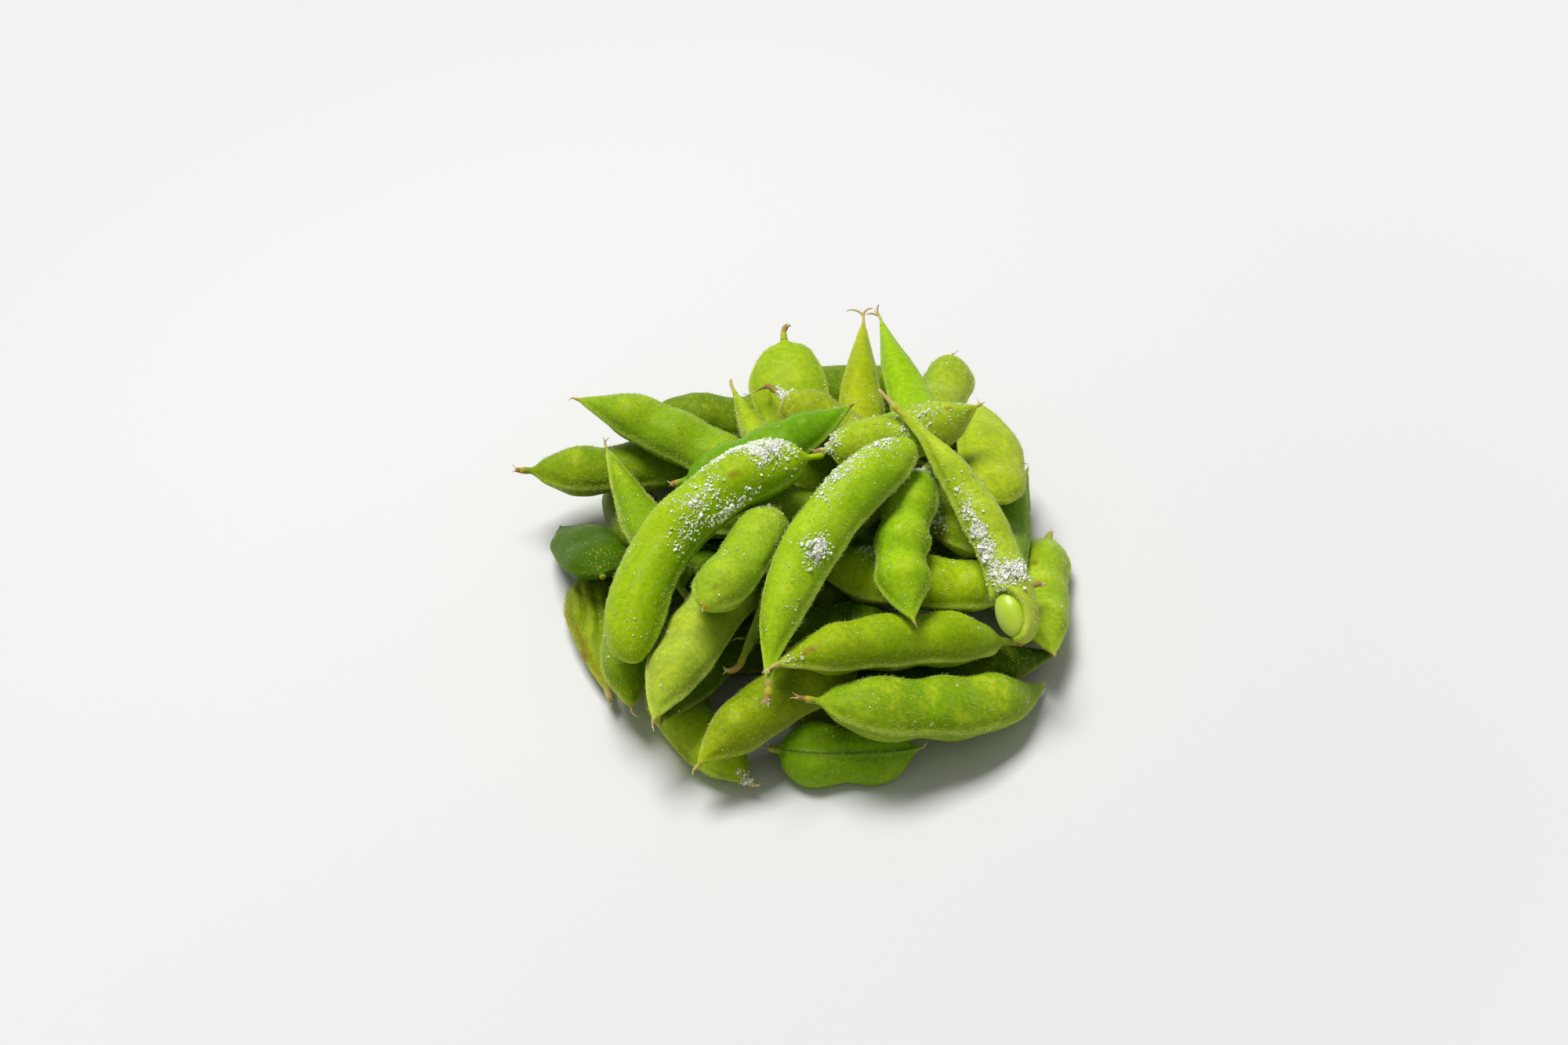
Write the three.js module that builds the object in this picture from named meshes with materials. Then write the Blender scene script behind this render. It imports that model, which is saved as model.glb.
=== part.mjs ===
// A heap of boiled edamame pods, lying on a table and on each other. Every pod is one solid,
// from its stalk to its beak. Millimetres, +Z up; the origin is on the table, under the middle
// of the heap.
import * as THREE from "three";

const { clamp, degToRad, lerp } = THREE.MathUtils;

// ---------------------------------------------------------------------------------------------
// Driving dimensions
// ---------------------------------------------------------------------------------------------

const SIDES = 10; // faces round a pod: the two seams fall on corners, the broad sides on flats
const BANDS = 16; // faces from the stalk to the beak
const NECK = 0.05; // share of the length that is stalk
const COLLAR = 0.2; // share of the stalk at which it has reached its full width
const STALK_RADIUS = 1.1;
const STALK_FLATNESS = 0.9; // the stalk's thickness, as a share of its width
const BEAN_SPAN = [0.24, 0.74]; // the first and the last bean, as shares of the body's length
const BEAN_REACH = 0.42; // how far a bean's bulge reaches, as a share of the way to the next
const WIDEST_PITCH = 0.34; // the longest way between beans that a bulge reaches along with
const LENS = 0.1; // how much flatter than an ellipse a section is beside its seams
const FULL_ENDS = 0.9; // below 1 the thickness holds on longer than the width towards the ends

const CLEARANCE = 0.55; // kept between two pods
const PRESSED = 0.35; // how far the table flattens a soft pod that lies on it

// The kinds of pod. Lengths run along the curved middle line.
//   bend    the curve in the pod's own plane, from end to end, in degrees
//   arch    the curve out of that plane, where a limp pod hangs over another
//   twist   the turn of the beak about the length, against the stalk
//   waist   how far the width draws in between the beans, as a share of it
//   hollow  how far the thickness draws in there
//   stem, tip  reach: the share of the body over which that end narrows;
//              point: 0.5 is a round end, 1 a wedge, and more is drawn out to a beak
const FULL = {
  beans: 3, length: 54, width: 13.5, thickness: 10.5, bend: 25, arch: 0, twist: 0,
  waist: 0.06, hollow: 0.22, belly: 0.08,
  stem: { reach: 0.26, point: 0.6 }, tip: { reach: 0.42, point: 1.0 },
};
const CRESCENT = {
  ...FULL, length: 74, width: 13.5, thickness: 12, bend: 92, arch: 12, waist: 0.02, hollow: 0.08,
  stem: { reach: 0.16, point: 0.55 }, tip: { reach: 0.2, point: 0.55 },
};
const LONG = {
  ...FULL, length: 76, width: 12.8, thickness: 11, bend: -52, arch: 20, waist: 0.03, hollow: 0.1,
  stem: { reach: 0.5, point: 1.05 }, tip: { reach: 0.2, point: 0.52 },
};
const WAISTED = {
  ...FULL, length: 45, width: 11.5, thickness: 10, bend: 40, waist: 0.24, hollow: 0.34,
  stem: { reach: 0.18, point: 0.52 }, tip: { reach: 0.3, point: 0.9 },
};
const SLIM = {
  ...FULL, length: 66, width: 9, thickness: 7.8, bend: -42, waist: 0.03, hollow: 0.12,
  stem: { reach: 0.5, point: 1.1 }, tip: { reach: 0.14, point: 0.5 },
};
const FLAT = {
  ...FULL, beans: 2, length: 48, width: 15.5, thickness: 7.5, bend: 15, waist: 0.02, hollow: 0.15,
  tip: { reach: 0.5, point: 0.9 },
};
const SHORT = {
  ...FULL, beans: 2, length: 40, width: 12.5, thickness: 10, bend: 18, waist: 0.09,
};
const ROUND = {
  ...FULL, beans: 2, length: 40, width: 11.8, thickness: 10, bend: -15,
  tip: { reach: 0.24, point: 0.52 },
};
const SPIKE = {
  ...FULL, beans: 2, length: 51, width: 10.5, thickness: 7.5, bend: -8, waist: 0.02,
  tip: { reach: 0.75, point: 1.05 },
};
const BLADE = { ...SPIKE, length: 32, width: 7, thickness: 5 };
const BROAD = { ...FULL, length: 64, width: 16, thickness: 12, bend: 40 };
const PLUMP = { ...FULL, length: 62, width: 12.8, thickness: 11 };
const MEDIUM = { ...FULL, length: 48, width: 13 };
const STUBBY = { ...FULL, length: 46, width: 12 };
const SMALL_FLAT = { ...FLAT, length: 42 };
const WIDE_FLAT = { ...FLAT, width: 17 };
const SEAMED = { ...SHORT, length: 34, thickness: 11 };

const skin = (colour) =>
  new THREE.MeshStandardMaterial({ color: colour, roughness: 0.5, metalness: 0 });
const SKINS = {
  lime: skin(0x93b21c),
  fresh: skin(0x7a9c12),
  deep: skin(0x4f7212),
  yellow: skin(0xa8b824),
};

// ---------------------------------------------------------------------------------------------
// One pod
// ---------------------------------------------------------------------------------------------

// Where the face rings lie along a pod, 0 at the stalk's end and 1 at the beak: two on the
// stalk, then closer together towards both ends of the body.
function stationOf(band) {
  if (band < 2) return band * COLLAR * NECK;
  return lerp(NECK, 1, (1 - Math.cos((Math.PI * (band - 2)) / (BANDS - 2))) / 2);
}

const rise = (share, { reach, point }) =>
  Math.sin((Math.PI / 2) * clamp(share / reach, 0, 1)) ** point;

// Half the width and half the thickness at a station: the body narrows to its two ends, and
// draws in between the beans.
function halfSizes(kind, station) {
  const along = clamp((station - NECK) / (1 - NECK), 0, 1);
  const ends = rise(along, kind.stem) * rise(1 - along, kind.tip);
  const pitch = (BEAN_SPAN[1] - BEAN_SPAN[0]) / Math.max(kind.beans - 1, 1);
  const reach = BEAN_REACH * Math.min(pitch, WIDEST_PITCH);
  let swell = 0;
  for (let bean = 0; bean < kind.beans; bean++) {
    const middle = kind.beans > 1 ? BEAN_SPAN[0] + bean * pitch : 0.5;
    swell = Math.max(swell, Math.exp(-(((along - middle) / reach) ** 2)));
  }
  const open = station < 1 && station > 0 ? 1 : 0;
  const stalk = station < 0.5 ? STALK_RADIUS * open : 0;
  return {
    halfWidth: Math.max(stalk, (kind.width / 2) * ends * (1 - kind.waist * (1 - swell))),
    halfThickness: Math.max(
      stalk * STALK_FLATNESS,
      (kind.thickness / 2) * ends ** FULL_ENDS * (1 - kind.hollow * (1 - swell)),
    ),
  };
}

// The middle line, as points a small step apart, with the directions across the width and
// through the thickness at each. The curve is even along the pod, and is centred on its middle.
const STEPS = 60;
function middleLine(kind) {
  const line = [];
  const centre = new THREE.Vector3();
  for (let step = 0; step <= STEPS; step++) {
    const off = step / STEPS - 0.5;
    const turn = degToRad(kind.bend) * off;
    const climb = -degToRad(kind.arch) * off;
    const forward = new THREE.Vector3(
      Math.cos(climb) * Math.cos(turn),
      Math.cos(climb) * Math.sin(turn),
      Math.sin(climb),
    );
    const across = new THREE.Vector3(-Math.sin(turn), Math.cos(turn), 0);
    across.applyAxisAngle(forward, degToRad(kind.twist) * off);
    const through = new THREE.Vector3().crossVectors(forward, across);
    line.push({ centre: centre.clone(), across, through });
    centre.addScaledVector(forward, kind.length / STEPS);
  }
  const middle = line.reduce((sum, { centre: c }) => sum.add(c), new THREE.Vector3());
  middle.divideScalar(line.length);
  line.forEach(({ centre: c }) => c.sub(middle));
  return line;
}

function placeOnLine(line, station) {
  const step = station * STEPS;
  const low = Math.min(Math.floor(step), STEPS - 1);
  const blend = (key) => line[low][key].clone().lerp(line[low + 1][key], step - low);
  return { centre: blend("centre"), across: blend("across"), through: blend("through") };
}

// A pod lying on its broad side along X, stalk at -X: a sphere whose poles are drawn out along
// the middle line, so that each of its circles of latitude becomes one section.
function podGeometry(kind, line) {
  const geometry = new THREE.SphereGeometry(1, SIDES, BANDS);
  const { position, uv } = geometry.attributes;
  for (let i = 0; i < position.count; i++) {
    const station = stationOf(Math.round((1 - uv.getY(i)) * BANDS));
    const round = (-2 * Math.PI * Math.round(uv.getX(i) * SIDES)) / SIDES;
    const { halfWidth, halfThickness } = halfSizes(kind, station);
    const { centre, across, through } = placeOnLine(line, station);
    const side = Math.cos(round);
    const wide = halfWidth * side * (1 - kind.belly * Math.sign(side));
    const high = halfThickness * Math.sin(round) * (1 - LENS * side * side);
    centre.addScaledVector(across, wide).addScaledVector(through, high);
    position.setXYZ(i, centre.x, centre.y, centre.z);
  }
  geometry.deleteAttribute("uv");
  geometry.computeVertexNormals();
  return geometry;
}

// ---------------------------------------------------------------------------------------------
// How the heap comes to rest
// ---------------------------------------------------------------------------------------------

const BALL_ROWS = 26; // rows of balls along a pod
const BALL_INSET = 0.01; // how far the end rows are from the pod's ends, as a share of its length
const FLAT_ENOUGH = 0.5; // how much wider than thick a section is for a row of three balls
const LIFT = 2.2; // how many times as high as its place a pod starts
// The ways in which touching pods move, one after the other.
//   rounds    how many small steps it lasts
//   fall      how far a pod sinks in a round
//   hold      how much of the way back to its laid place a pod is drawn in a round
//   sideways  how freely a touch moves a pod sideways, where up and down is 1
//   turning   how freely a touch turns it about the upright
//   yielding  how much the lower pod of two gives way, against the upper one
const MANNERS = [
  { rounds: 240, fall: 0, hold: 0.05, sideways: 1, turning: 1, yielding: 1 },
  { rounds: 140, fall: 0.1, hold: 0, sideways: 0.35, turning: 0.3, yielding: 0.25 },
  { rounds: 120, fall: 0, hold: 0, sideways: 0.2, turning: 0.2, yielding: 0.5 },
];

// A pod as balls, three across wherever it is wider than it is thick. Balls make touching easy
// to work out, and together they hold the whole pod.
function ballsOf(kind, line) {
  const balls = [];
  for (let row = 0; row <= BALL_ROWS; row++) {
    const station = lerp(BALL_INSET, 1 - BALL_INSET, row / BALL_ROWS);
    const { halfWidth, halfThickness } = halfSizes(kind, station);
    const { centre, across } = placeOnLine(line, station);
    const radius = Math.min(halfWidth, halfThickness);
    const spread = halfWidth - radius;
    for (const side of spread > FLAT_ENOUGH ? [-1, 0, 1] : [0]) {
      const at = centre.clone().addScaledVector(across, spread * side);
      balls.push({ at, radius, half: row < BALL_ROWS / 2 ? 0 : 1 });
    }
  }
  return balls;
}

const UP = new THREE.Vector3(0, 0, 1);
const ROD = 12; // a thin rod turns as readily as it moves, times this over its length squared
const about = (x, y, z, angle) =>
  new THREE.Quaternion().setFromAxisAngle(new THREE.Vector3(x, y, z), degToRad(angle));

// A pod on its way to rest.
class LaidPod {
  constructor(kind, line, { at, heading, pitch = 0, roll = 0 }) {
    this.laidAt = new THREE.Vector3(...at);
    this.laidTurn = about(0, 0, 1, heading).multiply(about(0, -1, 0, pitch));
    this.laidTurn.multiply(about(1, 0, 0, roll));
    this.position = this.laidAt.clone();
    this.position.z *= LIFT;
    this.turn = this.laidTurn.clone();
    this.balls = ballsOf(kind, line);
    this.world = this.balls.map(() => new THREE.Vector3());
    this.margin = kind.thickness / 2 + CLEARANCE;
    this.tipping = ROD / kind.length ** 2;
    this.box = new THREE.Box3();
  }

  move({ fall, hold }) {
    this.position.lerp(this.laidAt, hold);
    this.turn.slerp(this.laidTurn, hold);
    this.position.z -= fall;
  }

  placeBalls() {
    this.box.makeEmpty();
    this.balls.forEach(({ at }, i) => {
      this.world[i].copy(at).applyQuaternion(this.turn).add(this.position);
      this.box.expandByPoint(this.world[i]);
    });
  }

  // How the pod gives to a push along normal at a point: the way it moves and turns.
  giveTo(at, normal, { sideways, turning }, share) {
    const torque = at.clone().sub(this.position).cross(normal);
    const move = new THREE.Vector3(sideways * normal.x, sideways * normal.y, normal.z);
    const spin = new THREE.Vector3(torque.x, torque.y, turning * torque.z);
    move.multiplyScalar(share);
    spin.multiplyScalar(this.tipping * share);
    return { move, spin, give: move.dot(normal) + spin.dot(torque) };
  }

  nudge({ move, spin }, amount) {
    this.position.addScaledVector(move, amount);
    const angle = spin.length() * amount;
    if (angle === 0) return;
    const turn = new THREE.Quaternion().setFromAxisAngle(spin.clone().normalize(), angle);
    this.turn.premultiply(turn).normalize();
  }
}

// The deepest touch of each half of a pod with the table.
function tableTouches(pod) {
  const deepest = [];
  pod.balls.forEach(({ radius, half }, i) => {
    const depth = radius - PRESSED - pod.world[i].z;
    if (depth > (deepest[half]?.depth ?? 0)) deepest[half] = { at: pod.world[i], depth };
  });
  return deepest.filter(Boolean);
}

// The deepest touch of each half of one pod with each half of another.
function podTouches(pod, other) {
  if (!pod.box.clone().expandByScalar(pod.margin + other.margin).intersectsBox(other.box)) return [];
  const deepest = [];
  pod.balls.forEach(({ radius, half }, i) => {
    const a = pod.world[i];
    if (other.box.distanceToPoint(a) > radius + other.margin) return;
    other.balls.forEach((ball, j) => {
      const b = other.world[j];
      const apart = radius + ball.radius + CLEARANCE;
      const squared = (a.x - b.x) ** 2 + (a.y - b.y) ** 2 + (a.z - b.z) ** 2;
      if (squared >= apart * apart) return;
      const depth = apart - Math.sqrt(squared);
      const key = 2 * half + ball.half;
      if (depth > (deepest[key]?.depth ?? 0)) {
        const normal = a.clone().sub(b).normalize();
        deepest[key] = { at: a.clone().addScaledVector(normal, -radius), normal, depth };
      }
    });
  });
  return deepest.filter(Boolean);
}

// One round: all the pods move a little, and each touch pushes two of them apart and tips them.
function settleOnce(pods, manner) {
  pods.forEach((pod) => pod.move(manner));
  pods.forEach((pod) => pod.placeBalls());
  pods.sort((a, b) => a.position.z - b.position.z);
  pods.forEach((pod, index) => {
    for (const { at, depth } of tableTouches(pod)) {
      const answer = pod.giveTo(at, UP, manner, 1);
      pod.nudge(answer, depth / answer.give);
    }
    pod.placeBalls();
    for (const upper of pods.slice(index + 1))
      for (const { at, normal, depth } of podTouches(upper, pod)) {
        const away = upper.giveTo(at, normal, manner, 1);
        const back = pod.giveTo(at, normal, manner, manner.yielding);
        const amount = depth / (away.give + back.give);
        upper.nudge(away, amount);
        pod.nudge(back, -amount);
        upper.placeBalls();
        pod.placeBalls();
      }
  });
}

// The pods first make room for each other, held near the places where they were laid. Then all
// sink together, and hardly slide or turn round, as if friction held them, until each lies as
// low as the ones under it allow. Last they back out of each other.
function settle(pods) {
  for (const manner of MANNERS)
    for (let round = 0; round < manner.rounds; round++) settleOnce(pods, manner);
}

// A soft pod is flat where it lies on the table: every corner that is below it, or hardly above
// it, is on it.
function restOnTable(mesh) {
  mesh.updateMatrixWorld(true);
  const { position } = mesh.geometry.attributes;
  const corner = new THREE.Vector3();
  for (let i = 0; i < position.count; i++) {
    corner.fromBufferAttribute(position, i).applyMatrix4(mesh.matrixWorld);
    if (corner.z >= PRESSED) continue;
    corner.z = 0;
    mesh.worldToLocal(corner);
    position.setXYZ(i, corner.x, corner.y, corner.z);
  }
}

// ---------------------------------------------------------------------------------------------
// The heap, from the table up. A pod's heading is where its beak points, counted from +X
// towards +Y; pitch lifts the beak, and roll turns the pod about its length.
// ---------------------------------------------------------------------------------------------

const HEAP = [
  // On the table.
  ["base_pod_centre", FLAT, { at: [10, 4, 5], heading: 40 }, "deep"],
  ["base_pod_centre_front", FULL, { at: [-10, -17, 6], heading: 5 }, "deep"],
  ["base_pod_right", FULL, { at: [36, 18, 6], heading: 85 }, "deep"],
  ["base_pod_left", FULL, { at: [-38, 16, 6], heading: 100 }, "fresh"],
  ["base_pod_centre_left", FULL, { at: [-22, 0, 6], heading: 96 }, "deep"],
  ["base_pod_front", FULL, { at: [33, -30, 6], heading: 15 }, "deep"],
  ["base_pod_back_left", FULL, { at: [-20, 46, 6], heading: 25 }, "fresh"],
  ["base_pod_back", FULL, { at: [22, 46, 6], heading: -25 }, "fresh"],
  ["front_seam_pod", SEAMED, { at: [11, -49, 7], heading: 8, roll: 50 }, "fresh"],
  ["front_tucked_pod", SHORT, { at: [14, -38, 6], heading: -12 }, "fresh"],
  ["front_left_pod", SHORT, { at: [-22, -44, 8], heading: -50 }, "lime"],
  ["shrivelled_pod", SHORT, { at: [-44, -14, 9], heading: 278, pitch: -10 }, "fresh"],
  ["left_lower_pod", SHORT, { at: [-32, -24, 9], heading: 262, pitch: -10 }, "fresh"],
  // The second layer.
  ["left_rounded_pod", SMALL_FLAT, { at: [-46, 6, 13], heading: 112 }, "deep"],
  ["front_fuzzy_pod", MEDIUM, { at: [-1, -43, 11], heading: 228, pitch: -12 }, "fresh"],
  ["middle_low_pod", SHORT, { at: [4, -26, 13], heading: 172 }, "deep"],
  ["middle_front_pod", FLAT, { at: [-18, -30, 12], heading: 238, pitch: -8 }, "deep"],
  ["middle_right_pod", FULL, { at: [26, 12, 13], heading: 150 }, "deep"],
  ["right_edge_pod", MEDIUM, { at: [58, -6, 11], heading: -94 }, "fresh"],
  ["right_leaf_tip_pod", SPIKE, { at: [47, 10, 15], heading: 66 }, "deep"],
  ["back_left_pod", FULL, { at: [-38, 30, 15], heading: 20 }, "fresh"],
  ["back_left_upper_pod", FULL, { at: [-28, 27, 23], heading: 150 }, "lime"],
  ["back_middle_left_pod", FULL, { at: [-10, 44, 15], heading: 12 }, "fresh"],
  ["back_middle_right_pod", FULL, { at: [28, 40, 15], heading: 155 }, "fresh"],
  ["middle_pod_back", FULL, { at: [0, 22, 14], heading: 168 }, "lime"],
  ["centre_dark_pod", FULL, { at: [12, 2, 13], heading: 75 }, "deep"],
  ["front_right_lower_pod", BROAD, { at: [26, -37, 14], heading: 22 }, "lime"],
  // The third layer.
  ["back_upper_pod", FLAT, { at: [14, 44, 20], heading: 176 }, "fresh"],
  ["back_broad_pod", WIDE_FLAT, { at: [1, 34, 26], heading: 290, pitch: -18 }, "lime"],
  ["back_right_short_pod", SHORT, { at: [35, 44, 21], heading: 80, pitch: 12 }, "lime"],
  ["left_edge_on_pod", FULL, { at: [-9, 8, 22], heading: 170 }, "lime"],
  ["front_right_upper_pod", PLUMP, { at: [21, -34, 16], heading: 203 }, "lime"],
  ["right_middle_pod", FULL, { at: [26, -15, 20], heading: 2 }, "lime"],
  ["left_seam_pod", FULL, { at: [-19, -31, 15], heading: 232, pitch: -22 }, "lime"],
  ["salted_right_pod", FULL, { at: [32, 5, 20], heading: -54, pitch: -14 }, "lime"],
  ["hooked_pod", SLIM, { at: [6, -11, 23], heading: 51, pitch: 12, roll: 50 }, "fresh"],
  ["left_round_end_pod", ROUND, { at: [-11, -18, 24], heading: 249, pitch: -16 }, "lime"],
  ["left_spike_pod", SPIKE, { at: [-37, 5, 21], heading: 107, pitch: 18 }, "fresh"],
  ["back_slim_tips_pod", BLADE, { at: [-8, 33, 28], heading: 92, pitch: 10 }, "yellow"],
  ["back_spike_pod", SPIKE, { at: [15, 41, 28], heading: 90, pitch: 12 }, "yellow"],
  ["back_green_spike_pod", SPIKE, { at: [28, 38, 28], heading: 103, pitch: 10 }, "fresh"],
  ["right_back_pod", SMALL_FLAT, { at: [39, 20, 22], heading: 80, pitch: 8 }, "yellow"],
  ["dark_smooth_pod", STUBBY, { at: [-1, 17, 30], heading: 12, pitch: -6 }, "deep"],
  ["back_stalked_pod", SHORT, { at: [14, 22, 28], heading: -30 }, "lime"],
  // The top.
  ["top_short_pod", SHORT, { at: [21, 17, 32], heading: -8 }, "lime"],
  ["crescent_pod", CRESCENT, { at: [-16, -16, 33], heading: 232, pitch: -22 }, "fresh"],
  ["waisted_pod", WAISTED, { at: [26, -11, 35], heading: 264, pitch: -30 }, "lime"],
  ["long_curved_pod", LONG, { at: [6, -21, 39], heading: 63, pitch: 20 }, "lime"],
  ["slim_salted_pod", SLIM, { at: [39, -6, 41], heading: -62, pitch: -18 }, "lime"],
];

function meshOf(name, geometry, colour) {
  const mesh = new THREE.Mesh(geometry, SKINS[colour]);
  mesh.name = name;
  return mesh;
}

const heap = new THREE.Group();
heap.name = "edamame_heap";
const laid = HEAP.map(([name, kind, place, colour]) => {
  const line = middleLine(kind);
  return { mesh: meshOf(name, podGeometry(kind, line), colour), pod: new LaidPod(kind, line, place) };
});
settle(laid.map(({ pod }) => pod));
for (const { mesh, pod } of laid) {
  mesh.position.copy(pod.position);
  mesh.quaternion.copy(pod.turn);
  restOnTable(mesh);
  heap.add(mesh);
}

// The origin goes under the middle of the heap.
const bounds = new THREE.Box3().setFromObject(heap, true);
const middle = bounds.getCenter(new THREE.Vector3());
for (const mesh of heap.children) {
  mesh.position.x -= middle.x;
  mesh.position.y -= middle.y;
}

export default heap;
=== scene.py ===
"""Looks of a heap of boiled, salted edamame pods: skins, dried ends, hairs, salt and the stage.

Every pod keeps the place and the sections of its CAD solid. Its skin is a finer surface through
the same face rings, with the seams, bean bulges, wrinkles and dents that the solid leaves out.
Lengths are in metres; names ending in _MM and the tables of the single pods are in millimetres.
"""

import functools
import math
import zlib
from types import SimpleNamespace

import bpy
import numpy as np
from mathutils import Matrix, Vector


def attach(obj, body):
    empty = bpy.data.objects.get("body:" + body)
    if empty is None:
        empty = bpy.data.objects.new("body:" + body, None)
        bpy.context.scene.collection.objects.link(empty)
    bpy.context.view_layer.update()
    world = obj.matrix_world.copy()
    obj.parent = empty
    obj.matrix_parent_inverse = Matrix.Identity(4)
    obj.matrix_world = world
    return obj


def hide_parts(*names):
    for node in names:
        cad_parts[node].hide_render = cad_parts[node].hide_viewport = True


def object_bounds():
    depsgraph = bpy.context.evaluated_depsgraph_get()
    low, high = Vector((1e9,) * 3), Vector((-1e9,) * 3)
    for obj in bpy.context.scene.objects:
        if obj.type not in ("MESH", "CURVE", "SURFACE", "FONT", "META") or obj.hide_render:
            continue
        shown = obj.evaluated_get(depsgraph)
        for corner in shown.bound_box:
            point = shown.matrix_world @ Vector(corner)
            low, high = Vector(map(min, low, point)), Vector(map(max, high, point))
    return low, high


bl_info = {
    "name": "Edamame heap",
    "version": (1, 0, 0),
    "blender": (4, 5, 0),
    "location": "3D View > Sidebar > Edamame",
    "description": "Builds the looks of a heap of boiled, salted edamame pods",
    "category": "Object",
}

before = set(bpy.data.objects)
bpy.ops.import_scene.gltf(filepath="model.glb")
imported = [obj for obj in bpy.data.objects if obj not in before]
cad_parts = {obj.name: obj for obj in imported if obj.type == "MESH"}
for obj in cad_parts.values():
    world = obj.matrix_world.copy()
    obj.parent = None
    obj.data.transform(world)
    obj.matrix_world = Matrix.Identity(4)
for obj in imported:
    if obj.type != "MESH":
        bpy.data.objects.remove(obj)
CAD_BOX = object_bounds()
NODES = sorted(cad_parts)
BODY = "root"
MM = 0.001

# ---------------------------------------------------------------------------------------------
# The single pods
# ---------------------------------------------------------------------------------------------

SIDES = 10  # corners of a CAD face ring
NECK = 0.05  # share of a pod's length that is stalk
BEAN_SPAN = (0.24, 0.74)  # the first and the last bean, as shares of the body's length

# How the names of pods that others cover begin, and how much darker they are: painted shade
COVERED = ("base_", "middle_", "centre_", "back_middle_", "back_upper_")
COVERED_PAINTED_SHADE = 0.6

SLOT_TINTS = {
    "pod_lime": "#98b81a",
    "pod_fresh": "#7f9f12",
    "pod_deep": "#567f10",
    "pod_yellow": "#a6b51c",
}
TINT_SPREAD = (0.85, 1.1)  # how bright a pod may be whose tint isn't listed, against its slot's
RED_SPREAD = (0.88, 1.08)  # and how red

# What sets single pods apart. Anything not named is as DEFAULT_LOOK says.
#   tint     skin colour; without one it is the material slot's, changed a little by chance
#   beans    how many beans bulge under the skin
#   bulge    how far they stand out, mm
#   mottle   how strongly the skin is clouded with pale yellow
#   seam     how pale and proud the seams are, 0 to 1
#   beak, stalk   length of skin that has dried next to that end, mm
#   gloss    how bare and shiny the skin is, 0 (downy) to 1
#   rust     how much of the seams' edges has browned
#   wrinkle  depth of wrinkles, mm
#   line     how dark the middle of the seams is, 0 to 1
#   inner    painted shade: how much deeper green the inner side of the bend is, 0 to 1
#   shrunk   how much thinner than its solid a pod is towards the beak, 0 to 1
#   turn     how far round the seams lie from the widest sides of the solid, in degrees
#   straw    whether the ends have dried brown, 0, or pale, 1
#   down     how many hairs it has, against 1 for the rest
DEFAULT_LOOK = {
    "tint": None, "beans": 3, "bulge": 0.5, "mottle": 0.4, "seam": 0.5, "beak": 2.0,
    "stalk": 2.5, "gloss": 0.15, "rust": 0.1, "wrinkle": 0.0, "line": 0.0, "inner": 0.35,
    "shrunk": 0.0, "turn": 0, "straw": 0.0, "down": 1.0,
}
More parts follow.
